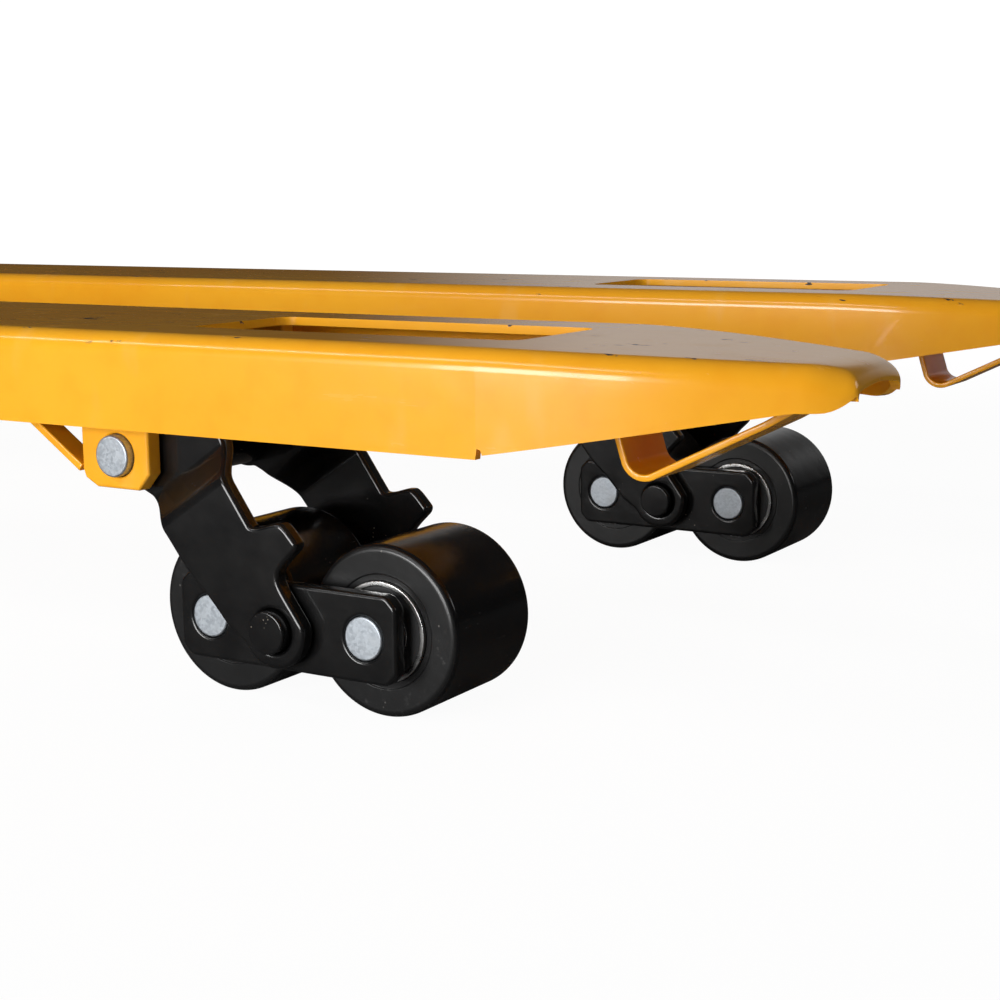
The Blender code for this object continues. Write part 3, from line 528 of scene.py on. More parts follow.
def forkStations():
    # (x, half width, top, bottom, bend) from the tail to the nose
    f = fork
    tail = forkLow.x - bogie.x
    tailTop = forkTop - f["tailDrop"]
    stations = [(tail, f["half"], tailTop, f["heelBottom"], f["bend"])]
    stations.append((tail + f["tailRun"], f["half"], forkTop, f["heelBottom"], f["bend"]))
    for i in range(9):
        share = i / 8
        bottom = f["heelBottom"] + (f["bottom"] - f["heelBottom"]) * smooth(share)
        stations.append((tail + f["heelRun"] + f["heelBlend"] * share, f["half"], forkTop, bottom, f["bend"]))
    lip, tipHalf = f["bottom"] + f["seamLip"], f["half"] - f["tipStep"]
    stations.append((f["seam"] - 0.0008, f["half"], forkTop, f["bottom"], f["bend"]))
    stations.append((f["seam"] - 0.0001, f["half"], forkTop, lip, f["bend"]))
    stations.append((f["seam"] + 0.0016, tipHalf, forkTop, lip - 0.0006, f["bend"]))
    start, end = f["seam"] + 0.0022, nose - f["noseRadius"]
    for i in range(15):
        share = i / 14
        half = tipHalf - (f["half"] - f["noseHalf"]) * share**1.5
        top = forkTop - f["noseDrop"] * share**1.3
        bottom = f["tipBottom"] + (f["noseBottom"] - f["tipBottom"]) * share
        bend = f["bend"] + (f["tipBend"] - f["bend"]) * smooth(share)
        stations.append((start + (end - start) * share, half, top, bottom, bend))
    for turn in (8, 16, 24, 32, 40, 48, 56, 64, 72, 80, 87, 93):
        ahead, down = sin(radians(turn)), 1 - cos(radians(turn))
        half = f["noseHalf"] - f["noseTurnIn"] * ahead - f["noseTuck"] * down
        top = forkTop - f["noseDrop"] - f["noseFall"] * down
        bottom = f["noseBottom"] + (f["cornerBottom"] - f["noseBottom"]) * smooth((turn - 26) / 62)
        bottom = min(bottom, top - f["leastWall"])  # a thinner wall would spoil the sheet's thickness
        stations.append((end + f["noseRadius"] * ahead, half, top, bottom, f["tipBend"]))
    return stations


def forkSection(half, top, bottom, bend):
    bend = min(bend, (top - bottom) * 0.72)
    corner = arcPoints((half - bend, top - bend), bend, 0, 90, 9)
    wall = [(half, bottom + (top - bend - bottom) * share) for share in (0, 0.33, 0.66)]
    right = wall + corner + [((half - bend) * share, top) for share in (0.8, 0.55, 0.3)]
    return right + [(0, top)] + [(-y, z) for y, z in reversed(right)]


def forkShape():
    shape = bmesh.new()
    rows = []
    for x, half, top, bottom, bend in forkStations():
        past = max(0, x - nose + fork["noseRadius"]) / fork["noseRadius"]
        row = []
        for y, z in forkSection(half, top, bottom, bend):
            rise = fork["lipRise"] * smooth(past) ** 2 * max(0, 1 - (y / half) ** 2)
            row.append(shape.verts.new((x, y, z + rise)))
        rows.append(row)
    for row, after in zip(rows, rows[1:]):
        for i in range(len(row) - 1):
            shape.faces.new((row[i], row[i + 1], after[i + 1], after[i]))
    bmesh.ops.recalc_face_normals(shape, faces=shape.faces)
    skin = bpy.data.objects.new("skin", meshOf("skin", [shape]))
    upward = skin.data.polygons[len(forkSection(1, 2, 0, 0.1)) // 2].normal.z > 0
    thicken = skin.modifiers.new("sheet", "SOLIDIFY")
    thicken.thickness, thicken.offset = fork["sheet"], -1 if upward else 1
    solid = shapeOf(skin)
    low, high, half = fork["window"]
    corners = softPath([(low, -half), (high, -half), (high, half), (low, half)], fork["windowCorner"], 6)
    window = plateShape(corners, 0.06, cutEdge, normal="Z", centre=(0, 0, forkTop))
    solid = carve(solid, cuts=[window])
    rims = [e for e in solid.edges if len(e.link_faces) == 2 and e.calc_face_angle() > radians(62)]
    bevel = {"offset": fork["edge"], "segments": 2, "profile": 0.5, "affect": "EDGES", "clamp_overlap": True}
    bmesh.ops.bevel(solid, geom=rims, **bevel)
    return solid


for side, sign in sides.items():
    holeX = shaft.x - bogie.x
    shaftHole = pinShape(pinRadius + fit, 0.010, cutEdge, centre=(holeX, sign * fork["half"], shaft.z))
    tubeHole = pinShape(fork["endHole"], 0.010, cutEdge, centre=(holeX, -sign * fork["half"], shaft.z))
    shape = carve(forkShape(), cuts=[shaftHole, tubeHole])
    at = (bogie.x, sign * forkY, 0)
    piece(named(side, "fork"), [shape], "yellow_coat", "fork_frame", [side + "_fork"], at)
print("forks made")


# Lugs, ramps and entry strips
lug = {
    "inner": 0.047, "outer": 0.056, "front": -0.070, "rear": -0.112, "top": 0.1697, "edge": 0.0014,
    "foot": [(-0.112, 0.106), (-0.1105, 0.102), (-0.103, 0.098), (-0.077, 0.098), (-0.070, 0.106)],
}
strip = {
    "width": 0.038, "thick": 0.003, "bendCentre": (0.1680, 0.1272), "bendRadius": 0.0095,
    "rearEnd": [(0.150, 0.158), (0.1565, 0.1325)], "frontEnd": [(0.222, 0.1432), (0.240, 0.1535)],
}
ramp = {"width": 0.013, "thick": 0.004, "path": [(-0.203, 0.1665), (-0.193, 0.1605), (-0.1135, 0.1065)]}


def lugShape(offset):
    outline = softPath([(lug["rear"], lug["top"]), *lug["foot"], (lug["front"], lug["top"])], 0.0012, 3)
    hole = pinHole((pivot.x - bogie.x, pivot.z))
    return plateShape(outline, lug["outer"] - lug["inner"], lug["edge"], [hole], centre=(0, offset, 0))


for side, sign in sides.items():
    at = (bogie.x, sign * forkY, 0)
    lugMiddle = (lug["inner"] + lug["outer"]) / 2
    for where, outward in (("outer", sign), ("inner", -sign)):
        plate = lugShape(outward * lugMiddle)
        node = f"{side}_{where}_lug"
        piece(named(side, where + "Lug"), [plate], "yellow_coat", "fork_frame", [node], at)
    path = softPath(ramp["path"], 0.012, 6, closed=False)
    rampY = sign * (lug["outer"] - ramp["width"] / 2)
    bar = barShape(path, ramp["width"], ramp["thick"], centre=(0, rampY, 0))
    piece(named(side, "lugRamp"), [bar], "yellow_coat", "fork_frame", [side + "_lug_ramp"], at)
    bend = arcPoints(strip["bendCentre"], strip["bendRadius"], 205, 300, 16)
    path = softPath([*strip["rearEnd"], *bend, *strip["frontEnd"]], 0.02, 4, closed=False)
    bar = barShape(path, strip["width"], strip["thick"])
    piece(named(side, "entryStrip"), [bar], "yellow_coat", "fork_frame", [side + "_entry_strip"], at)
print("lugs and strips made")


# Roller arms
arm = {
    "sheet": 0.008, "inner": 0.048, "outer": 0.056, "joggle": 0.0105, "edge": 0.0021, "joggleRun": 0.021,
    "sleeve": 0.016, "footRadius": 0.0178, "leverRadius": 0.014, "pivotRadius": 0.018, "corner": 0.0115,
    "front": [(0.0098, 0.0540), (0.0038, 0.0622), (0.0036, 0.0680), (0.0143, 0.0784)],
    "hook": [(0.0151, 0.0812), (0.0082, 0.0888), (0.0045, 0.0905), (-0.0074, 0.0867), (-0.0112, 0.0868)],
    "neck": [(-0.0265, 0.1085), (-0.0340, 0.1240), (-0.0400, 0.1350), (-0.0640, 0.1600)],
    "rear": [
        (-0.0790, 0.0940), (-0.0706, 0.0880), (-0.0625, 0.0795), (-0.0484, 0.0610), (-0.0384, 0.0530),
        (-0.0255, 0.0385),
    ],
    "joggleFrom": (-0.0620, 0.0855), "joggleAcross": (-0.555, 0.832), "joggleEarly": 0.0045,
}
leverEye, pivotEye = (rodPin.x - bogie.x, rodPin.z), (pivot.x - bogie.x, pivot.z)


def rounded(points, times=2):
    # cuts every corner of an open run of points, keeping its two ends
    for _ in range(times):
        cut = [points[0]]
        for one, two in zip(points, points[1:]):
            cut += [tuple(Vector(one).lerp(Vector(two), share)) for share in (0.25, 0.75)]
        points = cut[:1] + cut[2:-1] + [points[-1]]
    return points


def armOutline():
    outline = arcPoints((0, bogie.z), arm["footRadius"], 205, 372, 16)
    outline += rounded(arm["front"]) + rounded(arm["hook"]) + rounded(arm["neck"])
    outline += arcPoints(leverEye, arm["leverRadius"], 40, 180, 12)
    outline += arcPoints(pivotEye, arm["pivotRadius"], 170, 285, 12) + rounded(arm["rear"], 3)
    return softPath(outline, arm["corner"], 2)


def armShape(inwards):
    # cut in slices across the joggle, so that it bends smoothly
    holes = [pinHole(pivotEye), pinHole((0, bogie.z)), rodPinHole(leverEye)]
    shape = plateShape(armOutline(), arm["sheet"], arm["edge"], holes, rounding=4)
    (fromX, fromZ), (acrossX, acrossZ) = arm["joggleFrom"], arm["joggleAcross"]
    across = Vector((acrossX, 0, acrossZ)).normalized()
    lower = Vector((fromX, 0, fromZ)).dot(across) - arm["joggleEarly"]
    for i in range(17):
        slicePoint = across * (lower + arm["joggleRun"] * i / 16)
        everything = shape.verts[:] + shape.edges[:] + shape.faces[:]
        bmesh.ops.bisect_plane(shape, geom=everything, plane_co=slicePoint, plane_no=across, dist=0.0000005)
    for vert in shape.verts:
        vert.co.y += inwards * arm["joggle"] * smooth((vert.co.dot(across) - lower) / arm["joggleRun"])
    return shape


for side, sign in sides.items():
    plane = (arm["inner"] + arm["outer"]) / 2
    for where, outward in (("outer", sign), ("inner", -sign)):
        at = (bogie.x, sign * forkY + outward * plane, 0)
        node = f"{side}_{where}_arm_plate"
        piece(named(side, where + "ArmPlate"), [armShape(-outward)], "black_paint", side + "_arm", [node], at)
    inner = arm["inner"] - arm["joggle"] - fit
    tube = topToBottom([(pinRadius + fit, inner), (arm["sleeve"], inner)])
    sleeve = turnedShape(softPath(tube, 0.0008, 3), ring=True)
    at = (pivot.x, sign * forkY, pivot.z)
    piece(named(side, "armSleeve"), [sleeve], "black_paint", side + "_arm", [side + "_arm_sleeve"], at)
    pin = pinShape(pinRadius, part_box(side + "_pivot_pin")[1].y - sign * forkY, 0.0011)
    piece(named(side, "pivotPin"), [pin], "zinc", "fork_frame", [side + "_pivot_pin"], at)
    pin = pinShape(rodPinRadius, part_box(side + "_rod_pin")[1].y - sign * forkY, 0.0008)
    at = (rodPin.x, sign * forkY, rodPin.z)
    piece(named(side, "rodPin"), [pin], "zinc", side + "_arm", [side + "_rod_pin"], at)
print("roller arms made")


# Bogies and load rollers
link = {"half": (0.0615, 0.0205), "inner": 0.039, "outer": 0.047, "cut": 0.0052, "edge": 0.0017}
roller = {
    "radius": 0.040, "half": 0.032, "offset": 0.044, "bore": 0.0238, "shoulder": 0.0034,
    "recess": 0.0005, "recessRadius": 0.0262, "bearing": 0.0235, "bearingHalf": 0.0335, "race": 0.0022,
    "inset": 0.0016, "innerRace": 0.0142, "sealSwell": 0.0012,
}


def linkShape():
    along, up = link["half"]
    c = link["cut"]
    lower = [(-along, c - up), (c - along, -up), (along - c, -up), (along, c - up)]
    outline = lower + [(-x, -z) for x, z in lower]
    holes = [pinHole((x, 0)) for x in (-roller["offset"], 0, roller["offset"])]
    thick = link["outer"] - link["inner"]
    return plateShape(softPath(outline, 0.0050, 5), thick, link["edge"], holes, rounding=4)


def rollerProfile():
    r = roller
    flank = [(r["bore"], r["half"] - r["recess"]), (r["recessRadius"], r["half"] - r["recess"])]
    flank += [(r["recessRadius"] + 0.0006, r["half"])]
    shoulder = arcPoints((r["radius"] - r["shoulder"], r["half"] - r["shoulder"]), r["shoulder"], 90, 0, 10)
    return topToBottom(softPath([*flank, *shoulder], 0.0004, 3, closed=False))


def bearingProfile():
    r = roller
    top, low, outerRace = r["bearingHalf"], r["bearingHalf"] - r["inset"], r["bearing"] - r["race"]
    upper = [(pinRadius + fit, top), (r["innerRace"], top), (r["innerRace"], low)]
    upper += [(outerRace, low), (outerRace, top), (r["bearing"], top)]
    return softPath(topToBottom(upper), 0.0004, 3)


def sealShape(sign):
    # the rubber seal between the two races, standing just under them
    r = roller
    face = r["bearingHalf"] - r["inset"]
    outer, inner = r["bearing"] - r["race"] - 0.0002, r["innerRace"] + 0.0002
    between, swell = (inner + outer) / 2, r["sealSwell"]
    ring = [(inner, face + 0.0001), (outer, face + 0.0001), (outer, face + 0.0007)]
    ring += [(between + swell, face + 0.0011), (between - swell, face + 0.0008), (inner, face + 0.0010)]
    return turnedShape([(radius, sign * height) for radius, height in ring], sides=72, ring=True)


for side, sign in sides.items():
    centre = Vector((bogie.x, sign * forkY, bogie.z))
    for where, outward in (("outer", sign), ("inner", -sign)):
        offset = Vector((0, outward * (link["inner"] + link["outer"]) / 2, 0))
        node, at = f"{side}_{where}_link", centre + offset
        piece(named(side, where + "Link"), [linkShape()], "black_paint", side + "_bogie", [node], at)
        node = f"{side}_{where}_centre_pin"
        at = middle(node)
        pin = pinShape(pinRadius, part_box(node)[1].y - at.y, 0.0010)
        piece(named(side, where + "CentrePin"), [pin], "black_paint", side + "_centre", [node], at)
    for where, x in (("front", roller["offset"]), ("rear", -roller["offset"])):
        at = centre + Vector((x, 0, 0))
        body = f"{side}_{where}_wheel"
        shape, node = turnedShape(rollerProfile(), sides=112, ring=True), f"{side}_{where}_roller"
        piece(named(side, where + "Roller"), [shape], "polyurethane", body, [node], at, sharp=50)
        shape, node = turnedShape(bearingProfile(), sides=80, ring=True), f"{side}_{where}_bearings"
        piece(named(side, where + "Bearings"), [shape], "bearing_steel", body, [node], at, sharp=50)
        piece(named(side, where + "Seals"), [sealShape(1), sealShape(-1)], "grip", body, at=at)
        node = f"{side}_{where}_axle"
        pin = pinShape(pinRadius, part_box(node)[1].y - at.y, 0.0009)
        piece(named(side, where + "Axle"), [pin], "zinc", side + "_bogie", [node], at)
print("bogies and rollers made")


# Pieces that repeat, grown by Geometry Nodes
class Growth:
    def __init__(self, name, inputs):
        self.tree = bpy.data.node_groups.new(name, "GeometryNodeTree")
        for label, kind in inputs.items():
            self.tree.interface.new_socket(label, in_out="INPUT", socket_type="NodeSocket" + kind)
        self.tree.interface.new_socket("Geometry", in_out="OUTPUT", socket_type="NodeSocketGeometry")
        self.inlet = self.tree.nodes.new("NodeGroupInput").outputs
        items = self.tree.interface.items_tree
        self.sockets = {item.name: item.identifier for item in items if item.in_out == "INPUT"}

    def node(self, kind, settings=None, values=None):
        made = self.tree.nodes.new(kind)
        for key, value in (settings or {}).items():
            setattr(made, key, value)
        for key, value in (values or {}).items():
            if hasattr(value, "links"):
                self.tree.links.new(value, made.inputs[key])
            else:
                made.inputs[key].default_value = value
        return made.outputs

    def maths(self, operation, first, second=0.0):
        return self.node("ShaderNodeMath", {"operation": operation}, {0: first, 1: second})[0]

    def close(self, instances):
        plain = self.node("GeometryNodeRealizeInstances", None, {"Geometry": instances})["Geometry"]
        values = {"Geometry": plain, "Material": self.inlet["Material"]}
        coated = self.node("GeometryNodeSetMaterial", None, values)["Geometry"]
        self.node("NodeGroupOutput", None, {"Geometry": coated})
        return self

    def grow(self, unit, finish, path=(), closed=False, **values):
        # the tree is run once, and its result kept as a plain shape
        mesh = bpy.data.meshes.new("path")
        runs = [(i, i + 1) for i in range(len(path) - 1)] + ([(len(path) - 1, 0)] if closed else [])
        mesh.from_pydata([tuple(point) for point in path], runs, [])
        carrier = bpy.data.objects.new("carrier", mesh)
        piece = bpy.data.objects.new("unit", meshOf("unit", [unit]))
        piece.data.shade_smooth()
        scene.collection.objects.link(piece)
        modifier = carrier.modifiers.new("grow", "NODES")
        modifier.node_group = self.tree
        named = {label.capitalize(): value for label, value in values.items()}
        for label, value in ({"Unit": piece, "Material": finishes[finish]} | named).items():
            modifier[self.sockets[label]] = value
        shape = shapeOf(carrier)
        bpy.data.objects.remove(piece, do_unlink=True)
        return shape


def roundCircle():
    # units set round the z axis, each one facing outwards and twisted a little at random
    g = Growth("roundCircle", {
        "Geometry": "Geometry", "Unit": "Object", "Count": "Int", "Radius": "Float", "Twist": "Float",
        "Seed": "Int", "Material": "Material",
    })
    index = g.node("GeometryNodeInputIndex")[0]
    turn = g.maths("MULTIPLY", g.maths("DIVIDE", index, g.inlet["Count"]), 2 * pi)
    across = [g.maths("MULTIPLY", g.maths(way, turn), g.inlet["Radius"]) for way in ("COSINE", "SINE")]
    place = g.node("ShaderNodeCombineXYZ", None, {0: across[0], 1: across[1]})[0]
    points = g.node("GeometryNodePoints", None, {"Count": g.inlet["Count"], "Position": place})[0]
    chance = g.node("FunctionNodeRandomValue", {"data_type": "FLOAT"}, {"Seed": g.inlet["Seed"]})[1]
    facing = g.maths("ADD", turn, g.maths("MULTIPLY", chance, g.inlet["Twist"]))
    rotation = g.node("ShaderNodeCombineXYZ", None, {2: facing})[0]
    unit = g.node("GeometryNodeObjectInfo", None, {"Object": g.inlet["Unit"]})["Geometry"]
    values = {"Points": points, "Instance": unit, "Rotation": rotation}
    return g.close(g.node("GeometryNodeInstanceOnPoints", None, values)[0])


def alongPath():
    # units set along an edge path at a spacing, their z axis along it, and their sizes a little uneven
    g = Growth("alongPath", {
        "Geometry": "Geometry", "Unit": "Object", "Spacing": "Float", "Unevenness": "Float",
        "Seed": "Int", "Material": "Material",
    })
    curve = g.node("GeometryNodeMeshToCurve", None, {"Mesh": g.inlet["Geometry"]})[0]
    even = {"Curve": curve, "Length": g.inlet["Spacing"]}
    points = g.node("GeometryNodeResampleCurve", {"mode": "LENGTH"}, even)[0]
    tangent = g.node("GeometryNodeInputTangent")[0]
    rotation = g.node("FunctionNodeAlignRotationToVector", {"axis": "Z"}, {"Vector": tangent})[0]
    chance = g.node("FunctionNodeRandomValue", {"data_type": "FLOAT"}, {"Seed": g.inlet["Seed"]})[1]
    size = g.maths("SUBTRACT", 1.0, g.maths("MULTIPLY", chance, g.inlet["Unevenness"]))
    unit = g.node("GeometryNodeObjectInfo", None, {"Object": g.inlet["Unit"]})["Geometry"]
    values = {"Points": points, "Instance": unit, "Rotation": rotation, "Scale": size}
    return g.close(g.node("GeometryNodeInstanceOnPoints", None, values)[0])


circleTree, pathTree = roundCircle(), alongPath()
weld = {"long": 0.0032, "wide": 0.0026, "spacing": 0.0026, "unevenness": 0.28}


def beadShape(paths, closed, seed):
    # one weld bead for each path, made of flattened drops that run into each other
    shapes = []
    for i, path in enumerate(paths):
        turns = [pi * k / 6 for k in range(7)]
        drop = turnedShape([(weld["wide"] * sin(t), -weld["long"] * cos(t)) for t in turns], "Z", 10)
        values = {"spacing": weld["spacing"], "unevenness": weld["unevenness"], "seed": seed + i}
        shapes.append(pathTree.grow(drop, "black_paint", path, closed, **values))
    return shapes


def ringPath(radius, height, axis="Y", centre=(0, 0), steps=40):
    ring = ringPoints(centre, radius, steps)
    return [(x, height, z) if axis == "Y" else (x, z, height) for x, z in ring]


print("growth trees made")


# Push rods, rocker and yoke
rocker = {
    "arm": 0.107, "lever": 0.036, "drop": 0.0445, "hub": 0.0155, "tube": 0.014, "pastFork": 0.0195,
    "leverSpread": 0.0125, "leverSheet": 0.006, "leverEye": 0.0105, "eyePin": 0.006,
    "yokeArm": 0.040, "yokeArmSheet": 0.010, "yokeArmEye": 0.0125, "yokePin": 0.048, "yokePinRadius": 0.007,
}
rod = {"front": 0.0125, "rear": 0.0095, "sheet": 0.0150, "eye": (0.0125, 0.0158), "slot": (0.0072, 0.0108)}
rockerTurn = asin(rocker["drop"] / rocker["arm"])
rodEye = (rocker["lever"] * sin(rockerTurn), -rocker["lever"] * cos(rockerTurn))
yokeEye = (-rocker["arm"] * cos(rockerTurn), -rocker["drop"])
yoke = {
    "low": 0.188, "high": 0.205, "front": 0.150, "half": 0.058, "ring": 0.045, "bore": 0.0207,
    "rocker": 0.242, "slotTurn": 34, "slotHalf": 0.0093, "earHalf": 0.018, "earY": 0.053, "earSheet": 0.0099,
}  # rocker: how far in front of the ram its shaft lies


def boxPoints(centre, along, up):
    # along and up are half the box's sizes
    x, z = centre
    return [(x - along, z - up), (x + along, z - up), (x + along, z + up), (x - along, z + up)]


def pushRodShape(at):
    back = (shaft.x + rodEye[0] - at.x, shaft.z + rodEye[1] - at.z)
    outline = capsulePoints((0, 0), back, rod["front"], rod["rear"])
    bar = plateShape(outline, rod["sheet"], 0.0024, [rodPinHole()])
    eye = plateShape(softPath(boxPoints(back, *rod["eye"]), 0.006), rod["sheet"] + 0.001, 0.0016)
    slot = plateShape(softPath(boxPoints(back, *rod["slot"]), 0.005), 2 * rod["sheet"], cutEdge)
    return carve(bar, [eye], [slot])


def rockerShape():
    r = rocker
    adds = []
    for sign in sides.values():
        for offset in (-r["leverSpread"], r["leverSpread"]):
            outline = capsulePoints((0, 0), rodEye, r["hub"], r["leverEye"], 18)
            adds.append(plateShape(outline, r["leverSheet"], 0.0012, centre=(0, sign * forkY + offset, 0)))
        pinAt = (rodEye[0], sign * forkY, rodEye[1])
        adds.append(pinShape(r["eyePin"], 0.014, 0.0006, sides=36, centre=pinAt))
        outline = capsulePoints((0, 0), yokeEye, r["hub"], r["yokeArmEye"], 18)
        adds.append(plateShape(outline, r["yokeArmSheet"], 0.0022, centre=(0, sign * r["yokeArm"], 0)))
        pinAt = (yokeEye[0], sign * r["yokePin"], yokeEye[1])
        adds.append(pinShape(r["yokePinRadius"], 0.0105, 0.0007, sides=40, centre=pinAt))
    tube = pinShape(r["tube"], forkY + r["pastFork"], 0.0008)
    return carve(tube, adds, [pinShape(pinRadius + fit, 0.5, cutEdge)])


def yokeShape():
    k = yoke
    low, high, front = k["low"], k["high"], k["front"]
    ring = arcPoints((0, 0), k["ring"], 60, 300, 40) + [(front, -k["half"]), (front, k["half"])]
    bore = ringPoints((0, 0), k["bore"], 56)
    body = plateShape(softPath(ring, 0.008), high - low, 0.0025, [bore], "Z", (0, 0, (low + high) / 2))
    rear = k["rocker"] - rocker["arm"] - 0.015
    slotRear = rear + 0.007
    slotFront = k["rocker"] - rocker["arm"] * cos(radians(k["slotTurn"])) + 0.008
    earFront, up = slotFront + 0.009, shaft.z + yokeEye[1]
    ear = [(rear, high - 0.001), (rear, up - k["earHalf"]), (earFront, up - k["earHalf"])]
    ear += [(earFront, up + k["earHalf"]), (front + 0.015, high - 0.001)]
    slotBox = boxPoints(((slotRear + slotFront) / 2, up + 0.0007), (slotFront - slotRear) / 2, k["slotHalf"])
    ears = []
    for y in (-k["earY"], k["earY"]):
        outline, slot = softPath(ear, 0.006), softPath(slotBox, 0.006)
        ears.append(plateShape(outline, k["earSheet"], 0.0018, [slot], centre=(0, y, 0)))
    return carve(body, ears)


for side, sign in sides.items():
    at = Vector((rodPin.x, sign * forkY, rodPin.z))
    piece(named(side, "pushRod"), [pushRodShape(at)], "black_paint", side + "_rod", [side + "_push_rod"], at)
piece("rockerTube", [rockerShape()], "black_paint", "rocker", ["rocker"], shaft)
leverFaces = [spread - rocker["leverSheet"] / 2 for spread in (-rocker["leverSpread"], rocker["leverSpread"])]
hubFaces = [sign * (forkY + face) for sign in sides.values() for face in leverFaces]
yokeArmFaces = [rocker["yokeArm"] + way * rocker["yokeArmSheet"] / 2 for way in (-1, 1)]
hubFaces += [sign * face for sign in sides.values() for face in yokeArmFaces]
beads = beadShape([ringPath(rocker["tube"] + 0.0006, y) for y in hubFaces], True, 11)
piece("rockerWelds", beads, "black_paint", "rocker", at=shaft)
pin = pinShape(pinRadius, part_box("rocker_shaft")[1].y, 0.0011)
piece("rockerShaft", [pin], "zinc", "fork_frame", ["rocker_shaft"], shaft)
piece("yokeRing", [yokeShape()], "black_paint", "yoke", ["yoke"], (axle.x, 0, 0))
print("rocker and yoke made")


# Crosshead and ram
heelX = forkLow.x + 0.060
ramRadius = 0.017
crosshead = {
    "sheet": 0.006, "half": 0.262, "shoulder": (0.262, 0.222), "neck": (0.110, 0.440), "topHalf": 0.085,
    "top": 0.500, "seat": 0.465, "beamHalf": 0.042, "gussetY": 0.0365, "gusset": 0.007, "gussetLow": 0.215,
    "memberLow": 0.132, "ledgeHalf": 0.258, "notchHalf": 0.112,
}


def crossheadShape():
    c = crosshead
    back, foot = heelX - c["sheet"], forkTop + 0.0005
    outline = rightToLeft([(c["half"], foot), c["shoulder"], c["neck"], (c["topHalf"], c["top"])])
    centre = (heelX - c["sheet"] / 2, 0, 0)
    heel = plateShape(softPath(outline, 0.010, 6), c["sheet"], 0.0014, normal="X", centre=centre)
    seat = arcPoints((axle.x, 0), c["beamHalf"], 90, 270, 36)
    seat += [(back + 0.0035, -c["beamHalf"]), (back + 0.0035, c["beamHalf"])]
    beamMiddle = (0, 0, (c["top"] + c["seat"]) / 2 - 0.001)
    adds = [plateShape(seat, c["top"] - c["seat"] - 0.002, 0.003, normal="Z", centre=beamMiddle, rounding=3)]
    gussetBack, gussetTop = axle.x + 0.062, c["seat"] + 0.010
    gusset = [(back + 0.003, c["gussetLow"]), (back + 0.003, gussetTop), (gussetBack, gussetTop)]
    gusset += [(gussetBack, c["seat"] - 0.012), (back - 0.030, c["gussetLow"])]
    for y in (-c["gussetY"], c["gussetY"]):
        adds.append(plateShape(gusset, c["gusset"], 0.0012, centre=(0, y, 0)))
    # the member hangs between the forks, and the ledge and the notch lie where the plate stands on them
    between, memberTop = forkY - fork["half"] - 0.0005, foot + 0.008
    memberMiddle = (heelX - 0.00415, (c["memberLow"] + memberTop) / 2)
    member = boxPoints(memberMiddle, 0.00365, (memberTop - c["memberLow"]) / 2)
    adds.append(plateShape(member, 2 * between, 0.0012))
    ledge = boxPoints((back - 0.0235, foot + 0.0031), 0.0265, 0.0029)
    adds.append(plateShape(ledge, 2 * c["ledgeHalf"], 0.0010))
    notch = boxPoints((back - 0.0315, foot + 0.005), 0.0285, 0.015)
    socket = pinShape(ramRadius + fit, 0.015, cutEdge, "Z", centre=(axle.x, 0, c["seat"]))
    return carve(heel, adds, [plateShape(notch, 2 * c["notchHalf"], cutEdge), socket])


def crossheadBeads():
    back, paths = heelX - crosshead["sheet"], []
    for sign in (-1, 1):
        for edge in (-0.5, 0.5):
            y = sign * crosshead["gussetY"] + edge * (crosshead["gusset"] + 0.001)
            paths.append([(back - 0.0004, y, 0.222 + 0.0121 * k) for k in range(20)])
        low = forkTop + 0.0067
        paths.append([(back - 0.0004, sign * (0.118 + 0.0136 * k), low) for k in range(11)])
    return beadShape(paths, False, 31)


piece("crossheadFrame", [crossheadShape()], "yellow_coat", "fork_frame", ["crosshead"])
piece("crossheadWelds", crossheadBeads(), "yellow_coat", "fork_frame")
low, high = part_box("ram")
rodShape = pinShape(ramRadius, (high.z - low.z) / 2, 0.0015, "Z", 80)
piece("ramRod", [rodShape], "chrome", "fork_frame", ["ram"], (axle.x, 0, (low.z + high.z) / 2))
print("crosshead made")


# Pump, with its steering boss and handle brackets
plungerRadius = 0.007
pump = {
    "low": 0.2055, "high": 0.230, "tank": 0.045, "neck": 0.026, "shoulder": 0.345, "top": 0.372,
    "plate": [(-0.118, -0.062), (0.040, -0.062), (0.062, -0.035)], "boss": (0.020, 0.075, 0.1405),
    "earY": 0.0558, "earSheet": 0.0118, "earFoot": (-0.102, -0.048), "earRadius": 0.020,
    "boltCircle": 0.0535, "screw": (0.0064, 0.0072), "plug": 0.0335,
}


def pumpBaseShape():
    p = pump
    outline = softPath(topToBottom(p["plate"]), 0.012, 8)
    centre = (0, 0, (p["low"] + p["high"]) / 2)
    base = plateShape(outline, p["high"] - p["low"], 0.0035, normal="Z", centre=centre, rounding=4)
    bossRadius, bossHalf, bossMiddle = p["boss"]
    adds = [pinShape(bossRadius, bossHalf, 0.002, "Z", 72, (0, 0, bossMiddle))]
    hingeX, plungerX = hinge.x - axle.x, middle("pump_plunger").x - axle.x
    ear = [(x, p["high"] - 0.006) for x in p["earFoot"]]
    ear += arcPoints((hingeX, hinge.z), p["earRadius"], 0, 180, 26)
    for y in (-p["earY"], p["earY"]):
        adds.append(plateShape(ear, p["earSheet"], 0.0026, centre=(0, y, 0), rounding=4))
    cuts = [pinShape(pinRadius + fit, through, cutEdge, centre=(0, 0, axle.z))]
    cuts.append(pinShape(hingeRadius + fit, through, cutEdge, centre=(hingeX, 0, hinge.z)))
    cuts.append(pinShape(plungerRadius + fit, through, cutEdge, "Z", 40, (plungerX, 0, p["high"])))
    return carve(base, adds, cuts)


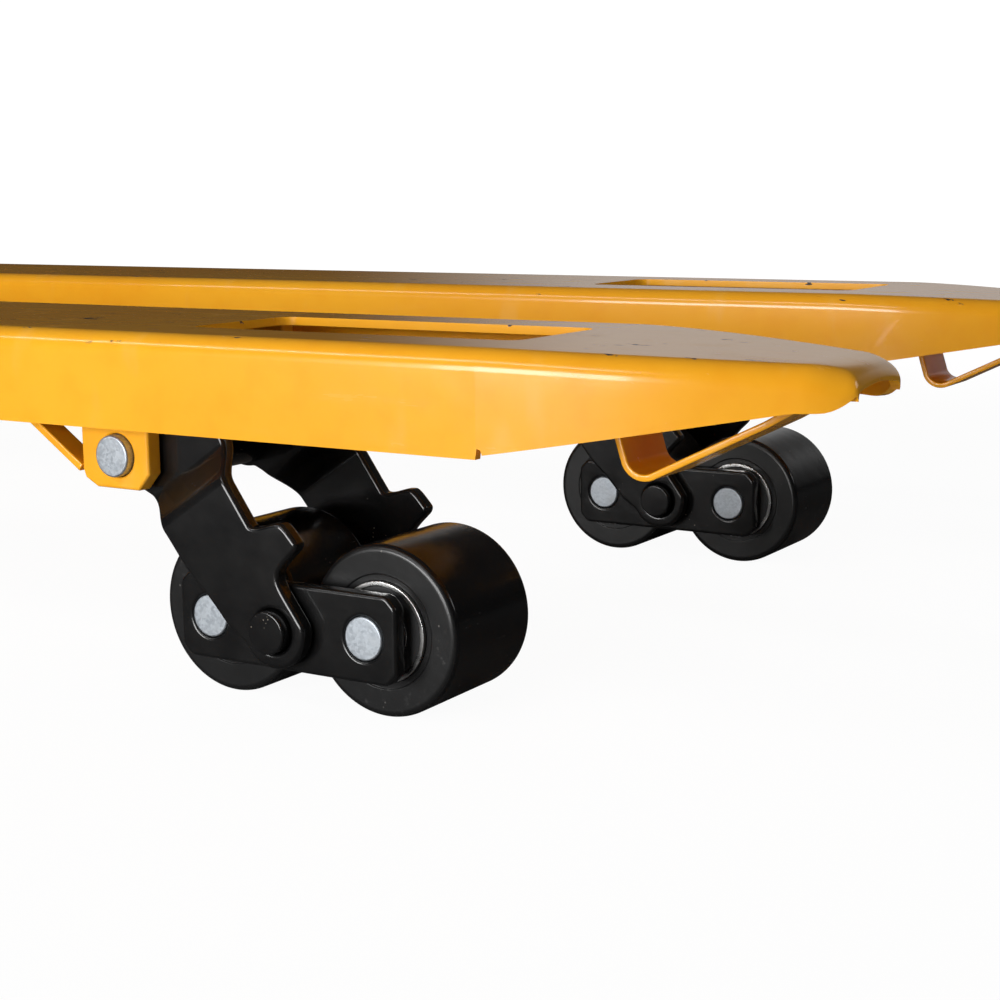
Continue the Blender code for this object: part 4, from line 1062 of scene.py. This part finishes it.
def reservoirShape():
    # a hollow neck round the ram, a slightly waisted collar under it, then the tank
    tank, neck, shoulder, top = pump["tank"], pump["neck"], pump["shoulder"], pump["top"]
    base, floor, bore, drain = pump["high"] + fit, pump["high"] + 0.0055, ramRadius + fit, 0.004
    waist = neck - 0.0015
    profile = [(drain, floor), (bore, floor), (bore, top), (neck, top)]
    profile += [(neck, top - 0.009), (waist, top - 0.0105), (waist, shoulder + 0.006)]
    profile += [(tank - 0.006, shoulder + 0.003), (tank, shoulder - 0.004)]
    profile += [(tank, pump["high"] + 0.004), (tank - 0.0015, base), (drain, base)]
    return turnedShape(softPath(profile, 0.0022, 5), "Z", 96, ring=True)


def capScrewShape():
    radius, height = pump["screw"]
    profile = softPath([(0, height), (radius, height), (radius, 0), (0, 0)], 0.0007, 3, closed=False)
    head = turnedShape(profile, "Z", 28)
    outline = ringPoints((0, 0), radius * 0.52, 6)
    hexagon = plateShape(outline, 0.008, cutEdge, normal="Z", centre=(0, 0, height))
    return carve(head, cuts=[hexagon])


at = (axle.x, 0, 0)
piece("pumpBase", [pumpBaseShape()], "pump_black", "steer_unit", ["pump_base"], at)
piece("reservoirTank", [reservoirShape()], "pump_black", "steer_unit", ["reservoir"], at)
screws = circleTree.grow(capScrewShape(), "zinc", count=4, radius=pump["boltCircle"], twist=1.0, seed=5)
quarter = Matrix.Rotation(pi / 4, 4, "Z")
piece("pumpScrews", [screws], "zinc", "steer_unit", at=(axle.x, 0, pump["high"] + 0.0001), turn=quarter)
profile = softPath([(0, 0.006), (0.0062, 0.006), (0.0075, 0), (0, 0)], 0.0008, 3, closed=False)
plug = turnedShape(profile, "Z", 6)
at = (axle.x - pump["plug"], 0, pump["shoulder"] + 0.0030)
piece("oilPlug", [plug], "zinc", "steer_unit", at=at, sharp=25)
pin = pinShape(pinRadius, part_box("steer_axle")[1].y, 0.0012)
piece("steerAxle", [pin], "zinc", "steer_unit", ["steer_axle"], axle)
pin = pinShape(hingeRadius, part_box("handle_pin")[1].y, 0.0010)
piece("handlePin", [pin], "zinc", "steer_unit", ["handle_pin"], hinge)
low, high = (corner.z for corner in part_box("pump_plunger"))
capRadius, capLow = 0.012, high - 0.007
stem = [(0, high), (capRadius, high), (capRadius, capLow)]
stem += [(plungerRadius, capLow), (plungerRadius, low), (0, low)]
shape = turnedShape(softPath(stem, 0.0011, 4, closed=False), "Z", 56)
piece("plungerRod", [shape], "chrome", "plunger", ["pump_plunger"], (middle("pump_plunger").x, 0, 0))
print("pump made")


# Steering wheels
wheel = {
    "radius": 0.090, "half": 0.025, "middle": 0.051, "crown": 0.0012, "rim": 0.066, "webRim": 0.056,
    "web": 0.008, "hub": 0.022, "ribs": 8, "ribSheet": 0.0052, "washer": (0.0160, 0.0009),
}


def tyreProfile():
    w = wheel
    bore = w["rim"] + 0.001
    flank = [(bore, w["half"] - 0.0012), (w["rim"] + 0.006, w["half"]), (w["radius"] - 0.0055, w["half"])]
    tread = [(w["radius"] - w["crown"] * (k / 6) ** 2, w["half"] * 0.84 * k / 6) for k in range(6, 0, -1)]
    upper = softPath(flank + tread, 0.003, 5, closed=False)
    return upper + [(w["radius"], 0)] + topToBottom(upper)[len(upper):]


def hubProfile():
    w = wheel
    rimHalf = w["half"] - 0.002
    upper = [(pinRadius + fit, w["half"]), (w["hub"], w["half"]), (w["hub"] + 0.002, w["web"])]
    upper += [(w["webRim"], w["web"]), (w["webRim"] + 0.002, rimHalf), (w["rim"], rimHalf)]
    return softPath(topToBottom(upper), 0.0016, 4)


def ribSet():
    # ribs on both faces of the web, between the hub and the rim
    inner, outer, low = wheel["hub"] - 0.001, wheel["webRim"] + 0.0012, wheel["web"] - 0.001
    outline = [(inner, low), (outer, low), (outer, 0.0180), (inner, 0.0215)]
    values = {"count": wheel["ribs"], "radius": 0.0, "twist": 0.0, "seed": 1}
    shapes = []
    for turn in (-pi / 2, pi / 2):
        shape = circleTree.grow(plateShape(outline, wheel["ribSheet"], 0.0011), "pump_black", **values)
        bmesh.ops.transform(shape, matrix=Matrix.Rotation(turn, 4, "X"), verts=shape.verts)
        shapes.append(shape)
    return shapes


for side, sign in sides.items():
    at, body = (axle.x, sign * wheel["middle"], axle.z), side + "_steer_wheel"
    shape = turnedShape(tyreProfile(), sides=144, ring=True)
    piece(named(side, "steerTyre"), [shape], "polyurethane", body, [side + "_steer_tyre"], at, sharp=50)
    shape = turnedShape(hubProfile(), sides=112, ring=True)
    piece(named(side, "steerHub"), [shape], "pump_black", body, [side + "_steer_hub"], at)
    piece(named(side, "hubRibs"), ribSet(), "pump_black", body, at=at)
    washerRadius, washerHalf = wheel["washer"]
    profile = topToBottom([(pinRadius + 0.0001, washerHalf), (washerRadius, washerHalf)])
    washer = turnedShape(softPath(profile, 0.0004, 3), sides=56, ring=True)
    washerY = sign * (wheel["middle"] + wheel["half"] + 0.0013)
    piece(named(side, "axleWasher"), [washer], "zinc", "steer_unit", at=(axle.x, washerY, axle.z))
print("steering wheels made")


# Handle
handle = {
    "lean": 4, "top": 1.200, "cheekY": 0.0405, "cheekSheet": 0.014, "toe": (-0.024, -0.004), "socket": 0.023,
    "tube": 0.016, "tubeWall": 0.003, "tubeLow": 0.0705, "loopRadius": 0.012, "loopHeight": 0.130,
    "loopHalves": (0.055, 0.100), "collar": 0.0205, "leverUp": 0.024, "leverPin": 0.003,
    "ring": [(0.0113, 0.0016), (0.01265, 0.0010)], "ringSpacing": 0.0055,
}
lean = Matrix.Rotation(-radians(handle["lean"]), 4, "Y")
loopTop = (handle["top"] - handle["loopRadius"] - hinge.z) / cos(radians(handle["lean"]))
loopLow = loopTop - handle["loopHeight"]
leverUp = loopLow + handle["leverUp"]


def handleFootShape():
    cheek = arcPoints((0, 0), 0.020, -60, 10, 10) + [(0.020, 0.062), (-0.020, 0.062)]
    cheek += arcPoints(handle["toe"], 0.014, 150, 270, 14)
    base = plateShape(softPath(boxPoints((0, 0.052), 0.022, 0.012), 0.003), 0.090, 0.0020)
    adds = []
    for y in (-handle["cheekY"], handle["cheekY"]):
        adds.append(plateShape(softPath(cheek, 0.003), handle["cheekSheet"], 0.0022, centre=(0, y, 0)))
    toeX, toeZ = handle["toe"]
    adds.append(pinShape(0.009, 0.035, 0.001, centre=(toeX, 0, toeZ)))
    adds.append(pinShape(handle["socket"], 0.035, 0.0022, "Z", 80, (0, 0, 0.090)))
    tubeHole = pinShape(handle["tube"] + fit, 0.050, cutEdge, "Z", 80, (0, 0, 0.120))
    return carve(base, adds, [pinShape(hingeRadius + fit, through, cutEdge), tubeHole])


def loopPoints():
    (low, high), top = handle["loopHalves"], handle["loopHeight"]
    corners = [(-low, 0), (low, 0), (high, top), (-high, top)]
    return [(0, y, z + loopLow) for y, z in softPath(corners, 0.030, 12)]


def loopShape():
    curve = bpy.data.curves.new("loop", "CURVE")
    curve.dimensions = "3D"
    curve.bevel_depth, curve.bevel_resolution = handle["loopRadius"], 8
    spline = curve.splines.new("POLY")
    outline = loopPoints()
    spline.points.add(len(outline) - 1)
    spline.use_cyclic_u = True
    for point, place in zip(spline.points, outline):
        point.co = (*place, 1)
    shape = shapeOf(bpy.data.objects.new("loop", curve))
    adds = [pinShape(handle["collar"], 0.030, 0.002, "Z", 72, (0, 0, loopLow - 0.024))]
    ear = [(0.009, -0.018), *arcPoints((0, 0), 0.009, 0, 180, 20), (-0.009, -0.018)]
    ear = [(x, z + leverUp) for x, z in ear]
    adds += [plateShape(ear, 0.005, 0.0008, centre=(0, y, 0)) for y in (-0.0105, 0.0105)]
    adds.append(pinShape(handle["leverPin"], 0.012, 0.0004, sides=28, centre=(0, 0, leverUp)))
    tubeHole = pinShape(handle["tube"] + fit, 0.030, cutEdge, "Z", 80, (0, 0, loopLow - 0.0415))
    return carve(shape, adds, [tubeHole])


def gripRings():
    # soft rings along the two sides and the top of the loop, where the hands go
    paths = []
    for sign in (-1, 1):
        start, end = Vector((0, sign * 0.0655, 0.0300)), Vector((0, sign * 0.0895, 0.0995))
        paths.append([start + (end - start) * k / 10 + Vector((0, 0, loopLow)) for k in range(11)])
    paths.append([(0, -0.060 + 0.012 * k, loopLow + handle["loopHeight"]) for k in range(11)])
    profile = softPath(topToBottom(handle["ring"]), 0.0004, 2)
    values = {"spacing": handle["ringSpacing"], "unevenness": 0.0, "seed": 2}
    return [pathTree.grow(turnedShape(profile, "Z", 36, ring=True), "grip", path, **values) for path in paths]


def leverShape():
    outline = rightToLeft([(0.005, 0.004), (0.007, 0.038), (0.026, 0.046), (0.026, 0.056)])
    blade = plateShape(softPath(outline, 0.004), 0.005, 0.0013, normal="X")
    hole = pinShape(handle["leverPin"] + fit, 0.05, cutEdge, sides=32)
    return carve(pinShape(0.0072, 0.00725, 0.0008, sides=48), [blade], [hole])


piece("handleFoot", [handleFootShape()], "yellow_coat", "handle", ["handle_foot"], hinge, lean)
outer, inner = handle["tube"], handle["tube"] - handle["tubeWall"]
low, high = handle["tubeLow"], loopLow - 0.012
wall = [(inner, high), (outer, high), (outer, low), (inner, low)]
shape = turnedShape(softPath(wall, 0.0006, 3), "Z", 80, ring=True)
piece("handleTube", [shape], "yellow_coat", "handle", ["handle_tube"], hinge, lean)
piece("gripLoop", [loopShape()], "grip", "handle", ["grip_loop"], hinge, lean)
piece("gripRings", gripRings(), "grip", "handle", at=hinge, turn=lean)
beads = beadShape([ringPath(handle["socket"] + 0.0004, 0.0648, "Z")], True, 51)
piece("footWeld", beads, "yellow_coat", "handle", at=hinge, turn=lean)
leverAt = Vector(hinge) + lean @ Vector((0, 0, leverUp))
piece("controlLever", [leverShape()], "black_paint", "lever", ["control_lever"], leverAt, lean)
print("handle made")


# Studio
studio = {
    "floor": (0.80, 0.80, 0.80), "floorMirrored": (0.13, 0.13, 0.13), "floorHalf": 60.0,
    "floorGlow": (0.90, 1.0), "glowReach": (0.9, 2.6), "seen": 1.06, "low": 0.022, "behind": 0.50,
    "overhead": 0.045,
    "camera": (0.4967, -0.8626, 0.2366), "yaw": 31.525, "pitch": 9.968, "roll": -0.521, "lens": 64.06,
}


def makeFloor():
    # pale paper: it glows a little where it is looked at, so that it has no far edge
    shape = bmesh.new()
    bmesh.ops.create_grid(shape, x_segments=1, y_segments=1, size=studio["floorHalf"])
    mesh = meshOf("floor", [shape])
    floor = bpy.data.objects.new("floor", mesh)
    scene.collection.objects.link(floor)
    f = Finish("floorPaper", Roughness=0.95, Specular_IOR_Level=0.1)
    mesh.materials.append(f.material)
    seen = f.node("LightPath")["Is Camera Ray"]
    glow = f.node("Emission", values={"Color": (1, 1, 1, 1), "Strength": studio["seen"]})["Emission"]
    paper = Wire(f.tree, f.shader.outputs[0])
    f.feed(Base_Color=f.mix(f.node("LightPath")["Is Glossy Ray"], studio["floor"], studio["floorMirrored"]))
    mixed = f.tree.nodes.new("ShaderNodeMixShader")
    split = f.node("SeparateXYZ", values={"Vector": f.place})
    distance = (split["X"] ** 2 + split["Y"] ** 2) ** 0.5
    near, far = studio["floorGlow"]
    share = seen * (distance.step(*studio["glowReach"]) * (far - near) + near)
    for wire, slot in ((share, 0), (paper, 1), (glow, 2)):
        f.tree.links.new(wire.socket, mixed.inputs[slot])
    f.tree.links.new(mixed.outputs[0], f.tree.nodes["Material Output"].inputs["Surface"])


def makeWorld():
    # what the camera sees is white, and what the paint reflects is a dim room with a pale far wall
    world = bpy.data.worlds.new("studioLight")
    scene.world = world
    world.use_nodes = True
    tree = world.node_tree
    tree.nodes.clear()
    place = tree.nodes.new("ShaderNodeTexCoord")
    split = tree.nodes.new("ShaderNodeSeparateXYZ")
    tree.links.new(place.outputs["Generated"], split.inputs["Vector"])
    x, y, z = (Wire(tree, split.outputs[axis]) for axis in "XYZ")
    panel = (x * 0.829 + y * 0.559).step(-0.06, 0.12) * (y * 0.423 - x * 0.906).step(0.0, 0.3)
    panel = panel * z.step(0.0, 0.06) * (1 - z.step(0.28, 0.45))
    level = panel * studio["behind"] + z.step(0.3, 1.0) * studio["overhead"] + studio["low"]
    path = Wire(tree, tree.nodes.new("ShaderNodeLightPath").outputs["Is Camera Ray"])
    strength = path * studio["seen"] + (1 - path) * level
    light = tree.nodes.new("ShaderNodeBackground")
    light.inputs["Color"].default_value = (1, 1, 1, 1)
    out = tree.nodes.new("ShaderNodeOutputWorld")
    tree.links.new(strength.socket, light.inputs["Strength"])
    tree.links.new(light.outputs[0], out.inputs["Surface"])


def softbox(name, at, aim, width, height, power, mirrored=True):
    light = bpy.data.lights.new(name, "AREA")
    light.shape, light.size, light.size_y, light.energy = "RECTANGLE", width, height, power
    obj = bpy.data.objects.new(name, light)
    scene.collection.objects.link(obj)
    obj.location, obj.visible_glossy = at, mirrored
    obj.rotation_mode = "QUATERNION"
    obj.rotation_quaternion = (Vector(aim) - Vector(at)).to_track_quat("-Z", "Y")


def makeCamera():
    yaw, pitch, roll = (radians(studio[key]) for key in ("yaw", "pitch", "roll"))
    back = Vector((sin(yaw) * cos(pitch), -cos(yaw) * cos(pitch), sin(pitch)))
    across = (-back).cross(Vector((0, 0, 1))).normalized()
    up = across.cross(-back)
    turnedAcross = across * cos(roll) + up * sin(roll)
    turnedUp = up * cos(roll) - across * sin(roll)
    lens = bpy.data.cameras.new("camera")
    lens.lens, lens.sensor_width = studio["lens"], 36
    camera = bpy.data.objects.new("camera", lens)
    scene.collection.objects.link(camera)
    turn = Matrix((turnedAcross, turnedUp, back)).transposed().to_4x4()
    camera.matrix_world = Matrix.Translation(Vector(studio["camera"]) + Vector((bogie.x, 0, 0))) @ turn
    scene.camera = camera


makeFloor()
makeWorld()
softbox("strip", (-0.5, -2.1, 2.0), (0.1, -0.2, 0.15), 3.4, 0.16, 16)
softbox("key", (-0.1, -3.6, 0.62), (0.3, -0.2, 0.1), 2.8, 1.2, 122)
softbox("rear", (-1.8, 2.4, 1.8), (-0.3, 0, 0.3), 2.2, 1.2, 16, mirrored=False)
softbox("far", (2.8, 1.2, 1.4), (0.5, 0, 0.1), 1.2, 1.0, 7)
makeCamera()
scene.view_settings.view_transform = "Standard"
print("studio made")
